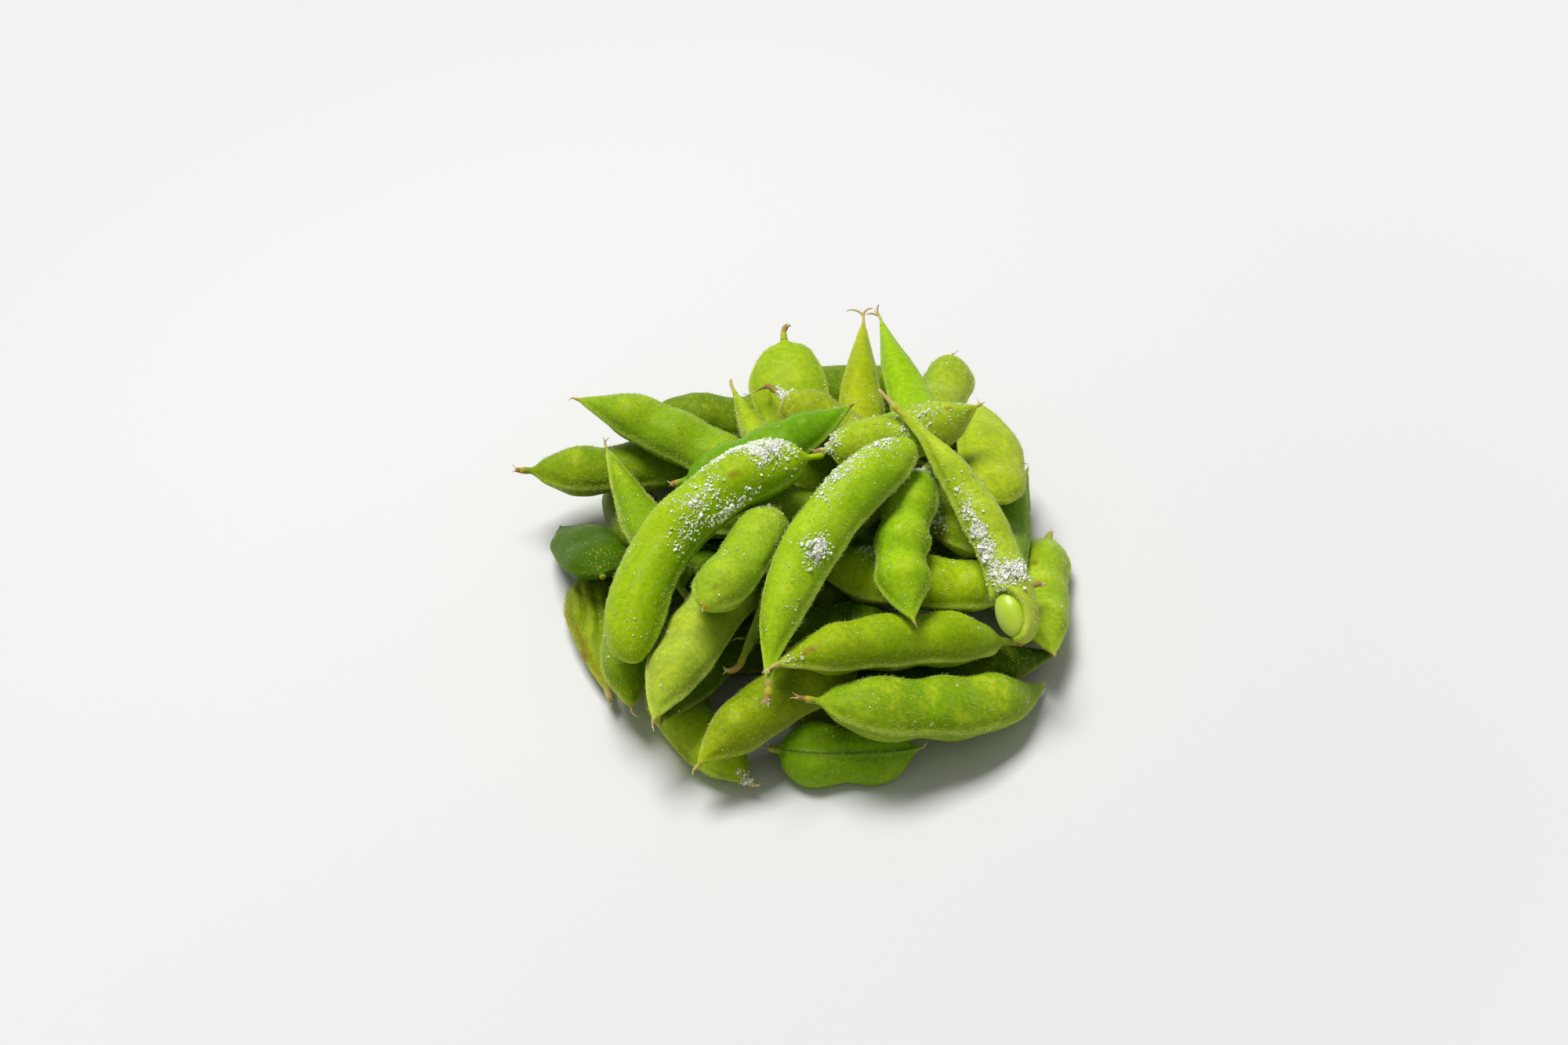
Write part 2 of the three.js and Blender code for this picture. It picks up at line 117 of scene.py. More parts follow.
LOOKS = {
    "crescent_pod": {
        "tint": "#9cbd0e", "bulge": 0.35, "seam": 0.3, "rust": 0.2, "beak": 0.2, "stalk": 0.6,
        "inner": 0.65,
    },
    "long_curved_pod": {
        "tint": "#9fc41a", "mottle": 0.45, "stalk": 6.0, "beak": 0.2, "seam": 0.7,
    },
    "waisted_pod": {"tint": "#9cc416", "bulge": 0.15, "mottle": 0.5, "beak": 2.0},
    "slim_salted_pod": {
        "tint": "#b6cd30", "mottle": 0.3, "stalk": 6.0, "beak": 0.6, "straw": 1.0,
    },
    "top_short_pod": {"tint": "#a3be22", "beans": 2, "mottle": 0.5, "rust": 0.4},
    "right_edge_pod": {"tint": "#abc828", "mottle": 0.5, "rust": 0.3, "bulge": 0.25},
    "right_middle_pod": {"tint": "#a8c214", "beak": 2.5, "mottle": 0.3},
    "right_leaf_tip_pod": {"tint": "#7aa614", "beans": 2, "gloss": 0.4},
    "right_back_pod": {
        "tint": "#a9bf22", "beans": 2, "mottle": 0.7, "gloss": 0.2, "bulge": -0.4, "inner": 0.0,
    },
    "front_right_upper_pod": {"tint": "#95b010", "seam": 1.0, "rust": 0.4, "beak": 4.0},
    "front_right_lower_pod": {"tint": "#83a614", "mottle": 1.0, "stalk": 4.0, "bulge": 0.45},
    "front_seam_pod": {
        "tint": "#80ac0e", "beans": 2, "seam": 0.3, "line": 1.0, "turn": 88, "bulge": 0.8,
    },
    "front_tucked_pod": {"tint": "#7c9a10", "beans": 2, "beak": 5.0},
    "front_fuzzy_pod": {"tint": "#8ca010", "mottle": 0.5},
    # its tint is its own lime, lightened as painted light against the shade it lies in
    "front_left_pod": {"tint": "#a6c61c", "beak": 5.0, "mottle": 0.5, "straw": 0.7},
    "left_seam_pod": {"tint": "#a9be3c", "seam": 1.0, "mottle": 0.9},
    "left_lower_pod": {"tint": "#6f9009", "beans": 2, "seam": 0.8},
    "left_round_end_pod": {"tint": "#9ebd28", "beans": 2, "mottle": 0.7, "beak": 0.8},
    # its tint is its own deep green, darkened further as painted shade
    "left_rounded_pod": {
        "tint": "#3f6002", "beans": 2, "gloss": 0.3, "seam": 0.1, "mottle": 0.05, "stalk": 0.6,
        "bulge": -0.3, "down": 0.1,
    },
    "left_spike_pod": {"tint": "#86aa0c", "beans": 2, "seam": 0.9, "straw": 0.6},
    "left_edge_on_pod": {"tint": "#9dbd2e", "beak": 3.5, "rust": 0.6},
    "shrivelled_pod": {
        "tint": "#8a9a10", "beans": 2, "beak": 7.0, "wrinkle": 0.9, "rust": 0.6, "shrunk": 0.5,
        "bulge": 0.2, "straw": 0.4,
    },
    "hooked_pod": {"tint": "#8fab34", "stalk": 6.0, "mottle": 0.2},
    "dark_smooth_pod": {"tint": "#6ca014", "mottle": 0.1, "gloss": 0.75, "bulge": 0.2},
    "back_slim_tips_pod": {"tint": "#a6bd18", "beans": 2, "beak": 5.0, "line": 0.8},
    "back_broad_pod": {
        "tint": "#a2bf22", "beans": 2, "mottle": 0.5, "gloss": 0.4, "bulge": 0.0, "seam": 0.9,
    },
    "back_spike_pod": {
        "tint": "#a2b30c", "beans": 2, "mottle": 0.2, "gloss": 0.5, "beak": 6.0, "straw": 0.8,
    },
    "back_green_spike_pod": {
        "tint": "#a0c80a", "beans": 2, "mottle": 0.1, "gloss": 0.7, "line": 0.5, "bulge": 0.25,
        "straw": 0.8,
    },
    "back_right_short_pod": {"tint": "#9bb426", "beans": 2, "mottle": 0.6},
    "back_stalked_pod": {"tint": "#98a81a", "beans": 2, "stalk": 5.0, "rust": 0.5},
    "back_upper_pod": {"beans": 2},
    "middle_low_pod": {"beans": 2},
    "middle_front_pod": {"beans": 2},
    "base_pod_centre": {"beans": 2},
}


def linear(code):
    """A hex colour as linear red, green and blue."""
    channels = np.array([int(code[i : i + 2], 16) for i in (1, 3, 5)]) / 255
    low = channels / 12.92
    high = ((channels + 0.055) / 1.055) ** 2.4
    return tuple(float(c) for c in np.where(channels < 0.04045, low, high))


def is_covered(node):
    """Whether others hide most of this pod."""
    return node.startswith(COVERED)


def dice(name):
    """Random numbers that belong to a name and are the same in every run."""
    return np.random.default_rng(zlib.crc32(name.encode()))


def look_of(node):
    """How one pod looks, with its material slot and its tint as a linear colour."""
    look = {**DEFAULT_LOOK, **LOOKS.get(node, {})}
    look["slot"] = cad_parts[node].data.materials[0].name
    if look["tint"] is None:
        rng = dice(node + " tint")
        base = np.array(linear(SLOT_TINTS[look["slot"]]))
        base *= rng.uniform(*TINT_SPREAD) * np.array([rng.uniform(*RED_SPREAD), 1.0, 1.0])
        # painted shade: a pod that others cover gets a darker tint
        base *= COVERED_PAINTED_SHADE if is_covered(node) else 1
        look["tint"] = tuple(float(c) for c in base)
    else:
        look["tint"] = linear(look["tint"])
    return look


# ---------------------------------------------------------------------------------------------
# Arrays and surfaces
# ---------------------------------------------------------------------------------------------


def unit(vectors):
    """The same directions with a length of 1."""
    size = np.linalg.norm(vectors, axis=-1, keepdims=True)
    return vectors / np.maximum(size, 1e-12)


def smooth_step(low, high, value):
    """0 below one bound and 1 above the other, with an S-curve, 3x² − 2x³, between them."""
    share = np.clip((value - low) / (high - low), 0, 1)
    return share * share * (3 - 2 * share)


def bell(value):
    """1 at 0, falling off to both sides: e to the power of minus the square."""
    return np.exp(-(value**2))


def keep_above_floor(points):
    """Lifts the points that are below the floor up onto it."""
    points[..., 2] = np.maximum(points[..., 2], 0)


def net_of(mesh):
    """The points of a mesh without doubles, and which pairs of them an edge joins."""
    corners = np.empty(len(mesh.vertices) * 3, np.float32)
    mesh.vertices.foreach_get("co", corners)
    loops = np.empty(len(mesh.loops), np.int32)
    mesh.loops.foreach_get("vertex_index", loops)
    spots = np.round(corners.astype(float).reshape(-1, 3), 6)
    spots, same = np.unique(spots, axis=0, return_inverse=True)
    faces = same.ravel()[loops].reshape(-1, 3)
    linked = np.zeros((len(spots), len(spots)), bool)
    linked[faces, np.roll(faces, 1, axis=1)] = True
    return spots, linked | linked.T


def ring_sets(node):
    """The face rings of a CAD pod from pole to pole, stalk first, with their points in no order.

    The mesh is a net of ten-cornered rings between two poles. A pole is the only point with ten
    neighbours, and ring number n holds the points that are n edges away from it. The stalk's
    first two rings have nearly the same size, and the beak's have not.
    """
    spots, linked = net_of(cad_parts[node].data)
    seen = np.zeros(len(spots), bool)
    level = np.zeros(len(spots), bool)
    level[np.flatnonzero(linked.sum(1) == SIDES)[0]] = True
    levels = []
    while level.any():
        levels.append(spots[level])
        seen |= level
        level = linked[level].any(0) & ~seen
    if [len(ring) for ring in levels[1:-1]] != [SIDES] * (len(levels) - 2):
        raise RuntimeError(f"{node} is not a net of face rings")
    sizes = [np.linalg.norm(np.ptp(ring, axis=0)) for ring in levels]
    if sizes[2] / sizes[1] > sizes[-3] / sizes[-2]:
        levels.reverse()
    return levels


def read_rings(node):
    """The face rings of a CAD pod as rows of ten corners, a pole being ten times the same point.

    The corners of a row go round the pod by their angle about its middle. Corners 0 and 5 lie on
    the two seams, which are the widest pair of the middle ring and are followed from ring to
    ring, and corner 0 is the one on the inner side of the bend.
    """
    levels = ring_sets(node)
    centres = np.array([ring.mean(0) for ring in levels])
    ahead = unit(np.gradient(centres, axis=0))
    middle = len(levels) // 2
    apart = np.linalg.norm(levels[middle][:, None] - levels[middle][None], axis=-1)
    seam = levels[middle][np.unravel_index(apart.argmax(), apart.shape)[0]] - centres[middle]
    rows = [None] * len(levels)
    for order in (range(middle, 0, -1), range(middle, len(levels) - 1)):
        towards = seam
        for row in order:
            spokes = levels[row] - centres[row]
            across = unit(towards - ahead[row] * (towards @ ahead[row]))
            side = np.cross(ahead[row], across)
            turn = np.arctan2(spokes @ side, spokes @ across)
            first = np.abs(turn).argmin()
            turn = (turn - turn[first] + 1e-6) % (2 * np.pi)
            rows[row] = levels[row][turn.argsort()]
            towards = rows[row][0] - centres[row]
    rows[0] = np.repeat(levels[0], SIDES, axis=0)
    rows[-1] = np.repeat(levels[-1], SIDES, axis=0)
    rings = np.array(rows)
    bend = np.gradient(np.gradient(centres, axis=0), axis=0)[3:-3].sum(0)
    if (rings[middle, 0] - rings[middle, SIDES // 2]) @ bend < 0:
        rings = np.roll(rings, SIDES // 2, axis=1)
    return rings


def round_out(rings, angles):
    """Closed smooth sections through ten corners each: the Fourier sum of the corners, which is
    each corner times sin(5x) / (10 tan(x/2)), x being the angle from it."""
    apart = angles[:, None] - np.arange(SIDES)[None] * 2 * np.pi / SIDES
    apart = (apart + np.pi) % (2 * np.pi) - np.pi
    near = np.abs(apart) < 1e-9
    safe = np.where(near, 1.0, apart)
    weight = np.where(near, 1.0, np.sin(SIDES / 2 * safe) / (SIDES * np.tan(safe / 2)))
    return np.einsum("ck,rkx->rcx", weight, rings)


def run_along(sections, count):
    """Rows of a smooth surface through given sections: a natural cubic spline whose knots are as
    far apart as the sections themselves."""
    steps = np.linalg.norm(np.diff(sections, axis=0), axis=-1).mean(1)
    knots = np.concatenate([[0], steps.cumsum()])
    flat = sections.reshape(len(knots), -1)
    system = np.eye(len(knots))
    slopes = np.diff(flat, axis=0) / steps[:, None]
    right = np.zeros_like(flat)
    inner = np.arange(1, len(knots) - 1)
    system[inner, inner - 1] = steps[:-1]
    system[inner, inner] = 2 * (steps[:-1] + steps[1:])
    system[inner, inner + 1] = steps[1:]
    right[1:-1] = 6 * np.diff(slopes, axis=0)
    second = np.linalg.solve(system, right)
    at = np.linspace(0, knots[-1], count)
    span = np.clip(np.searchsorted(knots, at, side="right") - 1, 0, len(steps) - 1)
    gap = steps[span][:, None]
    after = (at - knots[span])[:, None]
    before = gap - after
    rows = (
        (second[span] * before**3 + second[span + 1] * after**3) / (6 * gap)
        + (flat[span] / gap - second[span] * gap / 6) * before
        + (flat[span + 1] / gap - second[span + 1] * gap / 6) * after
    )
    return rows.reshape(count, -1, 3)


def face_out(points):
    """Unit normals of a closed grid: the way round it crossed with the way along it, turned to
    point away from the middles of its rows."""
    lengthwise = np.gradient(points, axis=0)
    round_it = np.roll(points, -1, axis=1) - np.roll(points, 1, axis=1)
    normals = unit(np.cross(round_it, lengthwise))
    centres = points.mean(1, keepdims=True)
    if (normals * (points - centres)).sum() < 0:
        normals = -normals
    normals[0] = unit(points[0, 0] - centres[2, 0])
    normals[-1] = unit(points[-1, 0] - centres[-3, 0])
    return normals


def ripple(places, rng, wave, waves=6):
    """Soft unevenness: a sum of sine waves of about one wave length in chance directions."""
    total = np.zeros(places.shape[:-1])
    for _ in range(waves):
        way = unit(rng.normal(size=3)) * 2 * np.pi / (wave * rng.uniform(0.7, 1.5))
        total += np.sin(places @ way + rng.uniform(0, 2 * np.pi))
    return total / math.sqrt(waves)


def closed_faces(rows, columns):
    """Quads and end fans of a grid whose first and last rows are single points."""
    ring = np.arange((rows - 2) * columns).reshape(rows - 2, columns) + 1
    beside = np.roll(ring, -1, axis=1)
    quads = np.stack([ring[:-1], beside[:-1], beside[1:], ring[1:]], axis=-1).reshape(-1, 4)
    last = (rows - 2) * columns + 1
    start = np.stack([np.zeros(columns, int), beside[0], ring[0]], axis=-1)
    end = np.stack([np.full(columns, last), ring[-1], beside[-1]], axis=-1)
    return quads, np.concatenate([start, end])


def ends_joined(grid):
    """The values of a grid as a list, with its first and last row as one value each."""
    return np.concatenate([grid[:1, 0], grid[1:-1].reshape(-1, *grid.shape[2:]), grid[-1:, 0]])


def make_mesh(name, points, quads, triangles, layers=(), smooth=True):
    """A piece from points and faces, turned to face outwards, with its values per point."""
    corner = points[triangles]
    square = points[quads]
    volume = np.einsum("fx,fx->", corner[:, 0], np.cross(corner[:, 1], corner[:, 2]))
    for a, b, c in ((0, 1, 2), (0, 2, 3)):
        volume += np.einsum("fx,fx->", square[:, a], np.cross(square[:, b], square[:, c]))
    if volume < 0:
        quads = quads[:, ::-1]
        triangles = triangles[:, ::-1]
    mesh = bpy.data.meshes.new(name)
    mesh.vertices.add(len(points))
    mesh.vertices.foreach_set("co", points.astype(np.float32).ravel())
    mesh.loops.add(quads.size + triangles.size)
    mesh.loops.foreach_set("vertex_index", np.concatenate([quads.ravel(), triangles.ravel()]))
    sizes = np.concatenate([np.full(len(quads), 4), np.full(len(triangles), 3)])
    mesh.polygons.add(len(sizes))
    mesh.polygons.foreach_set("loop_start", np.concatenate([[0], sizes.cumsum()[:-1]]))
    mesh.polygons.foreach_set("use_smooth", np.full(len(sizes), smooth))
    for layer, values in dict(layers).items():
        values = np.asarray(values, np.float32)
        if values.ndim == 1:
            mesh.attributes.new(layer, "FLOAT", "POINT").data.foreach_set("value", values)
        else:
            data = mesh.attributes.new(layer, "FLOAT_VECTOR", "POINT").data
            data.foreach_set("vector", values.ravel())
    mesh.update(calc_edges=True)
    mesh.validate()
    piece = bpy.data.objects.new(name, mesh)
    bpy.context.scene.collection.objects.link(piece)
    return piece


def place(piece, slot, material, *nodes):
    """Gives a piece its material and body, and hides the CAD nodes that it stands for."""
    piece.data.materials.append(material)
    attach(piece, BODY)
    if nodes:
        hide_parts(*nodes)
    return piece


def join_parts(parts):
    """Many small meshes, each its points, quads, triangles and layers, as one such set."""
    offset = np.cumsum([0] + [len(part[0]) for part in parts[:-1]])
    points = np.concatenate([part[0] for part in parts])
    quads = np.concatenate([part[1] + start for part, start in zip(parts, offset)])
    triangles = np.concatenate([part[2] + start for part, start in zip(parts, offset)])
    layers = {
        name: np.concatenate([part[3][name] for part in parts]) for name in parts[0][3]
    }
    return points, quads, triangles, layers


# ---------------------------------------------------------------------------------------------
# The pods' surfaces
# ---------------------------------------------------------------------------------------------

ROWS, COLUMNS = 86, 54
COVERED_ROWS, COVERED_COLUMNS = 64, 40  # of the pods that others cover
FINE_ROWS, FINE_COLUMNS = 190, 140  # of the pod that has split open and the wrinkled one
SEAM_CROWDING = 0.33  # how much closer the columns stand at the seams

# Shares of a pod's length between which the stalk ends, the relief comes and goes, and a
# shrunk pod thins
STALK_END = (0.6 * NECK, 2.4 * NECK)
RELIEF_STARTS = (0.03, 0.14)
RELIEF_STOPS = (0.93, 1.0)
SHRINKS = (0.35, 0.75)

SLIM_MM = (1.2, 4.5)  # radii between which the relief takes on its full height
BEAN_REACH = 0.4  # how far a bean's bulge reaches, as a share of the way to the next
BEAN_DIP = 0.35  # how far the skin sinks between the beans, against how far it bulges
SEAM_RISE = (0.55, 0.6)  # height of a plain seam, and what a pale one adds, in seam heights
GROOVE_AT, GROOVE_WIDTH, GROOVE_DEPTH = 2.6, 1.3, 0.35  # beside a seam, in its widths, heights
FURROW_WIDTH, FURROW_DEPTH = 2.4, 1.2  # about a dark seam, in its widths and heights
WAVES_MM = ((13, 1.0), (4.5, 0.4))  # lengths of the soft waves, and their heights as shares
FOLD_MM = 2.7  # from wrinkle to wrinkle
FOLD_SWAY_MM, FOLD_SWAY_WAVE_MM = 0.9, 11  # how far the wrinkles wander, and how quickly

OPEN_POD = "slim_salted_pod"
OPEN_AT = 0.895  # share of the pod's length at which the split is widest
OPEN_FACING = (-0.5, -0.58, 0.64)  # the way the split faces
OPEN_HALF_MM = (5.8, 3.7)  # half the split's length and half its width
OPEN_EDGE = (0.86, 1.04)  # where its wall drops, as shares of the half sizes
OPEN_DEPTH_MM = 1.0
LIP_MM = 0.4  # how far the skin curls up along one side of the split
LIP_AT, LIP_WIDTH = 1.13, 0.12  # as shares of the half sizes
BEAN_HALF_MM = (5.3, 3.35, 2.5)  # along, across and through
BEAN_PROUD_MM = -0.1  # how far the bean stands out of the whole skin
BEAN_ROWS, BEAN_COLUMNS = 40, 48


@functools.cache
def grown_pod(node):
    """The finished surface of one pod and its measures: the CAD sections are rounded out, run
    along a spline, drawn in towards their middles at the stalk and where a pod has shrunk, and
    then moved along their normals as relief() says."""
    settings = bpy.context.scene.edamame_skin
    look = look_of(node)
    rng = dice(node)
    rows, columns = grid_size(node, look)
    even = np.arange(columns) * 2 * np.pi / columns
    angles = even - SEAM_CROWDING * np.sin(2 * even)
    turned = angles + math.radians(look["turn"])
    points = run_along(round_out(read_rings(node), turned), rows)
    centres = points.mean(1)
    steps = np.linalg.norm(np.diff(centres, axis=0), axis=-1)
    reached = np.concatenate([[0], steps.cumsum()])
    along = reached / reached[-1]
    slimming = 1 - settings.stalk_slimming * (1 - smooth_step(*STALK_END, along))
    slimming = slimming * (1 - look["shrunk"] * smooth_step(*SHRINKS, along))
    points = centres[:, None] + (points - centres[:, None]) * slimming[:, None, None]
    radius = np.linalg.norm(points - centres[:, None], axis=-1)
    ends = smooth_step(*RELIEF_STARTS, along) * (1 - smooth_step(*RELIEF_STOPS, along))
    ends = ends[:, None] * np.ones((1, columns))
    pod = SimpleNamespace(
        node=node, look=look, points=points, normals=face_out(points), angles=angles,
        along=along, reached=reached, length=reached[-1], radius=radius, ends=ends,
        slim=smooth_step(SLIM_MM[0] * MM, SLIM_MM[1] * MM, radius), gap=seam_gap(points),
        # the inner side of the bend, which the skin's colour darkens as painted shade
        inner=smooth_step(0.0, 0.95, np.cos(angles))[None] * ends,
        own=grown_places(radius, reached, angles, rng),
    )
    lift = relief(pod, settings, rng)
    pod.points = pod.points + pod.normals * lift[..., None]
    keep_above_floor(pod.points)
    pod.points[0] = pod.points[0, 0]
    pod.points[-1] = pod.points[-1, 0]
    pod.normals = face_out(pod.points)
    return pod


def grid_size(node, look):
    """Rows and columns of a pod's surface."""
    if is_covered(node):
        return COVERED_ROWS, COVERED_COLUMNS
    if node == OPEN_POD or look["wrinkle"] > 0:
        return FINE_ROWS, FINE_COLUMNS
    return ROWS, COLUMNS


def seam_gap(points):
    """How far each point is from the nearer seam, measured round its row: the seams are at
    column 0 and half way round."""
    rows, columns = points.shape[:2]
    girth = np.linalg.norm(np.roll(points, -1, axis=1) - points, axis=-1)
    gone = np.concatenate([np.zeros((rows, 1)), girth.cumsum(1)[:, :-1]], axis=1)
    total = girth.sum(1, keepdims=True)
    half = gone[:, columns // 2][:, None]
    return np.minimum(np.minimum(gone, total - gone), np.abs(gone - half))


def relief(pod, settings, rng):
    """How far each point moves out along its normal.

    It is the sum of: a swelling, which is less where the pod is slim; a bell-shaped bulge over
    each bean on both broad sides; a narrow bell-shaped ridge along each seam with a shallow
    groove on either side, in a wider furrow where the seam is a dark line; soft waves; and,
    where a pod has them, wrinkles and the split. The pod keeps the parts that its colours need.
    """
    look, gap, ends, slim = pod.look, pod.gap, pod.ends, pod.slim
    broad = np.abs(np.sin(pod.angles))[None] * np.ones((len(gap), 1))
    body = np.clip((pod.along - NECK) / (1 - NECK), 0, 1)
    middles = np.linspace(*BEAN_SPAN, look["beans"])
    pitch = middles[1] - middles[0]
    bean = bell((body[:, None] - middles) / (BEAN_REACH * pitch)).max(1)
    pod.bean = bean[:, None] * broad**2

    width, height = settings.seam_width, settings.seam_height
    ridge = bell(gap / width) * ends
    groove = bell((gap - GROOVE_AT * width) / (GROOVE_WIDTH * width))
    furrow = bell(gap / (FURROW_WIDTH * width)) * ends
    lift = settings.swelling * slim
    lift = lift + look["bulge"] * MM * (pod.bean - BEAN_DIP * (1 - pod.bean) * broad) * ends
    lift = lift + height * (SEAM_RISE[0] + SEAM_RISE[1] * look["seam"]) * ridge
    lift = lift - GROOVE_DEPTH * height * groove * ends
    lift = lift - FURROW_DEPTH * height * look["line"] * furrow
    for wave, share in WAVES_MM:
        lift = lift + share * settings.unevenness * ripple(pod.own, rng, wave * MM) * slim

    pod.crease, pod.opened, pod.lip = np.zeros((3, *gap.shape))
    if look["wrinkle"]:
        sway = ripple(pod.own, rng, FOLD_SWAY_WAVE_MM * MM)
        warp = pod.own[..., 1] + FOLD_SWAY_MM * MM * sway
        folds = 0.5 + 0.5 * np.sin(warp * 2 * np.pi / (FOLD_MM * MM))
        # the folds dent the skin, and the skin's colour darkens them as painted shade
        pod.crease = folds**2 * smooth_step(0.08, 0.4, body)[:, None] * broad
        lift = lift - look["wrinkle"] * MM * pod.crease * slim
    if pod.node == OPEN_POD:
        pod.opening = opening_of(pod.points, pod.normals, pod.along)
        pod.opened, pod.lip = split(pod.points, pod.normals, pod.opening)
        lift = lift - OPEN_DEPTH_MM * MM * pod.opened + LIP_MM * MM * pod.lip
    return lift


def grown_places(radius, reached, angles, rng):
    """Places in a pod's own straight frame, so that patterns follow its curve: how far along it,
    and across and through it at the true radius. Each pod starts at a place of its own."""
    along = np.broadcast_to(reached[:, None], radius.shape)
    own = np.stack([along, radius * np.cos(angles), radius * np.sin(angles)], axis=-1)
    return own + rng.uniform(0, 1, 3)


def nearest_facing(normals, along, share, facing):
    """Row and column of the spot at a share of the length that faces a direction best."""
    row = np.abs(along - share).argmin()
    return row, (normals[row] @ unit(np.array(facing, float))).argmax()


def opening_of(points, normals, along):
    """The middle of the split: its row and column, the way out of it and the way along it."""
    row, column = nearest_facing(normals, along, OPEN_AT, OPEN_FACING)
    normal = normals[row, column]
    way = way_along(points, row, column, 6)
    return row, column, normal, unit(way - normal * (way @ normal))


def way_along(points, row, column, reach):
    """From some rows before a spot to as many after it."""
    return points[min(row + reach, len(points) - 1), column] - points[max(row - reach, 0), column]


def split(points, normals, opening):
    """How far each spot is inside the open split, and how near its lip: with d the distance from
    the split's middle over its half sizes, inside falls from 1 to 0 about d = 1, and the lip is
    a bell just outside, on the side that has curled open."""
    row, column, normal, way = opening
    apart = points - points[row, column]
    lengthwise = apart @ way
    sideways = apart @ np.cross(normal, way)
    facing = normals @ normal > 0
    half_length, half_width = (half * MM for half in OPEN_HALF_MM)
    share = np.hypot(lengthwise / half_length, sideways / half_width)
    inside = (1 - smooth_step(*OPEN_EDGE, share)) * facing
    curled = smooth_step(-0.1, 0.6, sideways / half_width)
    lip = bell((share - LIP_AT) / LIP_WIDTH) * facing * curled
    return inside, lip


def bean_surface(pod):
    """The bean in the split: an ellipsoid on polar angles, sunk in the skin by all but its top.
    Gives its points, and how far each lies to its lower side, where a pale highlight is painted."""
    row, column, normal, way = pod.opening
    polar = np.linspace(0, np.pi, BEAN_ROWS)[:, None]
    turn = np.arange(BEAN_COLUMNS)[None] * 2 * np.pi / BEAN_COLUMNS
    long_half, wide_half, deep_half = (half * MM for half in BEAN_HALF_MM)
    lengthwise = np.cos(polar) * np.ones_like(turn)
    sideways = np.sin(polar) * np.cos(turn)
    outward = np.sin(polar) * np.sin(turn)
    skin = pod.points[row, column] + OPEN_DEPTH_MM * MM * normal
    points = (
        skin + (BEAN_PROUD_MM * MM - deep_half) * normal
        + long_half * lengthwise[..., None] * way
        + wide_half * sideways[..., None] * np.cross(normal, way)
        + deep_half * outward[..., None] * normal
    )
    return points, smooth_step(-0.2, 0.9, -sideways)


# One line per browned spot: node, share of its length, the way that spot faces, and half its
# length and width in mm
BLEMISHES = [
    ("crescent_pod", 0.3, (-0.1, -0.6, 0.8), 1.0, 0.6),
    ("salted_right_pod", 0.68, (-0.1, -0.6, 0.8), 2.4, 1.2),
    ("salted_right_pod", 0.5, (0.3, -0.6, 0.7), 1.0, 0.7),
    ("left_edge_on_pod", 0.78, (-0.1, -0.5, 0.9), 0.9, 0.6),
    ("left_edge_on_pod", 0.68, (0, -0.7, 0.6), 0.7, 0.5),
    ("top_short_pod", 0.8, (0.1, -0.3, 1), 1.2, 0.6),
    ("front_left_pod", 0.7, (0, -0.5, 0.8), 1.0, 0.6),
    ("right_edge_pod", 0.4, (-0.3, -0.3, 0.9), 1.1, 0.5),
    ("left_round_end_pod", 0.9, (-0.2, -0.6, 0.7), 0.9, 0.6),
    ("front_right_upper_pod", 0.86, (0, -0.3, 1), 2.2, 1.0),
    ("shrivelled_pod", 0.7, (-0.3, -0.6, 0.6), 1.8, 0.8),
]
SPOT_TEAR, SPOT_TEAR_MM = 0.35, 1.1  # how torn the edges of the spots are, and how finely

DRY_SHARE = 0.5  # share of a dried stretch's listed length over which it fades
PALE_SEAM_MM = 0.55  # half the width of the pale line on a seam
DARK_LINE_MM = 0.3  # and of the dark one
BROWNED_AT_MM, BROWNED_MM = 1.3, 1.0  # where a seam's browned edges lie, and half their width
PALE_LIP = 0.7


def blemishes(pod):
    """How browned each point is: ellipses about the listed spots, with torn edges."""
    stain = np.zeros(pod.gap.shape)
    for node, share, facing, long_half, wide_half in BLEMISHES:
        if node != pod.node:
            continue
        near = spot_distance(pod, share, facing, long_half, wide_half)
        near = near + SPOT_TEAR * ripple(pod.own, dice(node + " stain"), SPOT_TEAR_MM * MM)
        stain = np.maximum(stain, 1 - smooth_step(0.5, 1.2, near))
    return stain


def spot_distance(pod, share, facing, long_half, wide_half):
    """How far each point is from a spot on a pod, as a share of the spot's half sizes in mm."""
    row, column = nearest_facing(pod.normals, pod.along, share, facing)
    way = unit(way_along(pod.points, row, column, 2))
    apart = pod.points - pod.points[row, column]
    lengthwise = apart @ way
    rest = np.linalg.norm(apart - lengthwise[..., None] * way, axis=-1)
    return np.hypot(lengthwise / (long_half * MM), rest / (wide_half * MM))


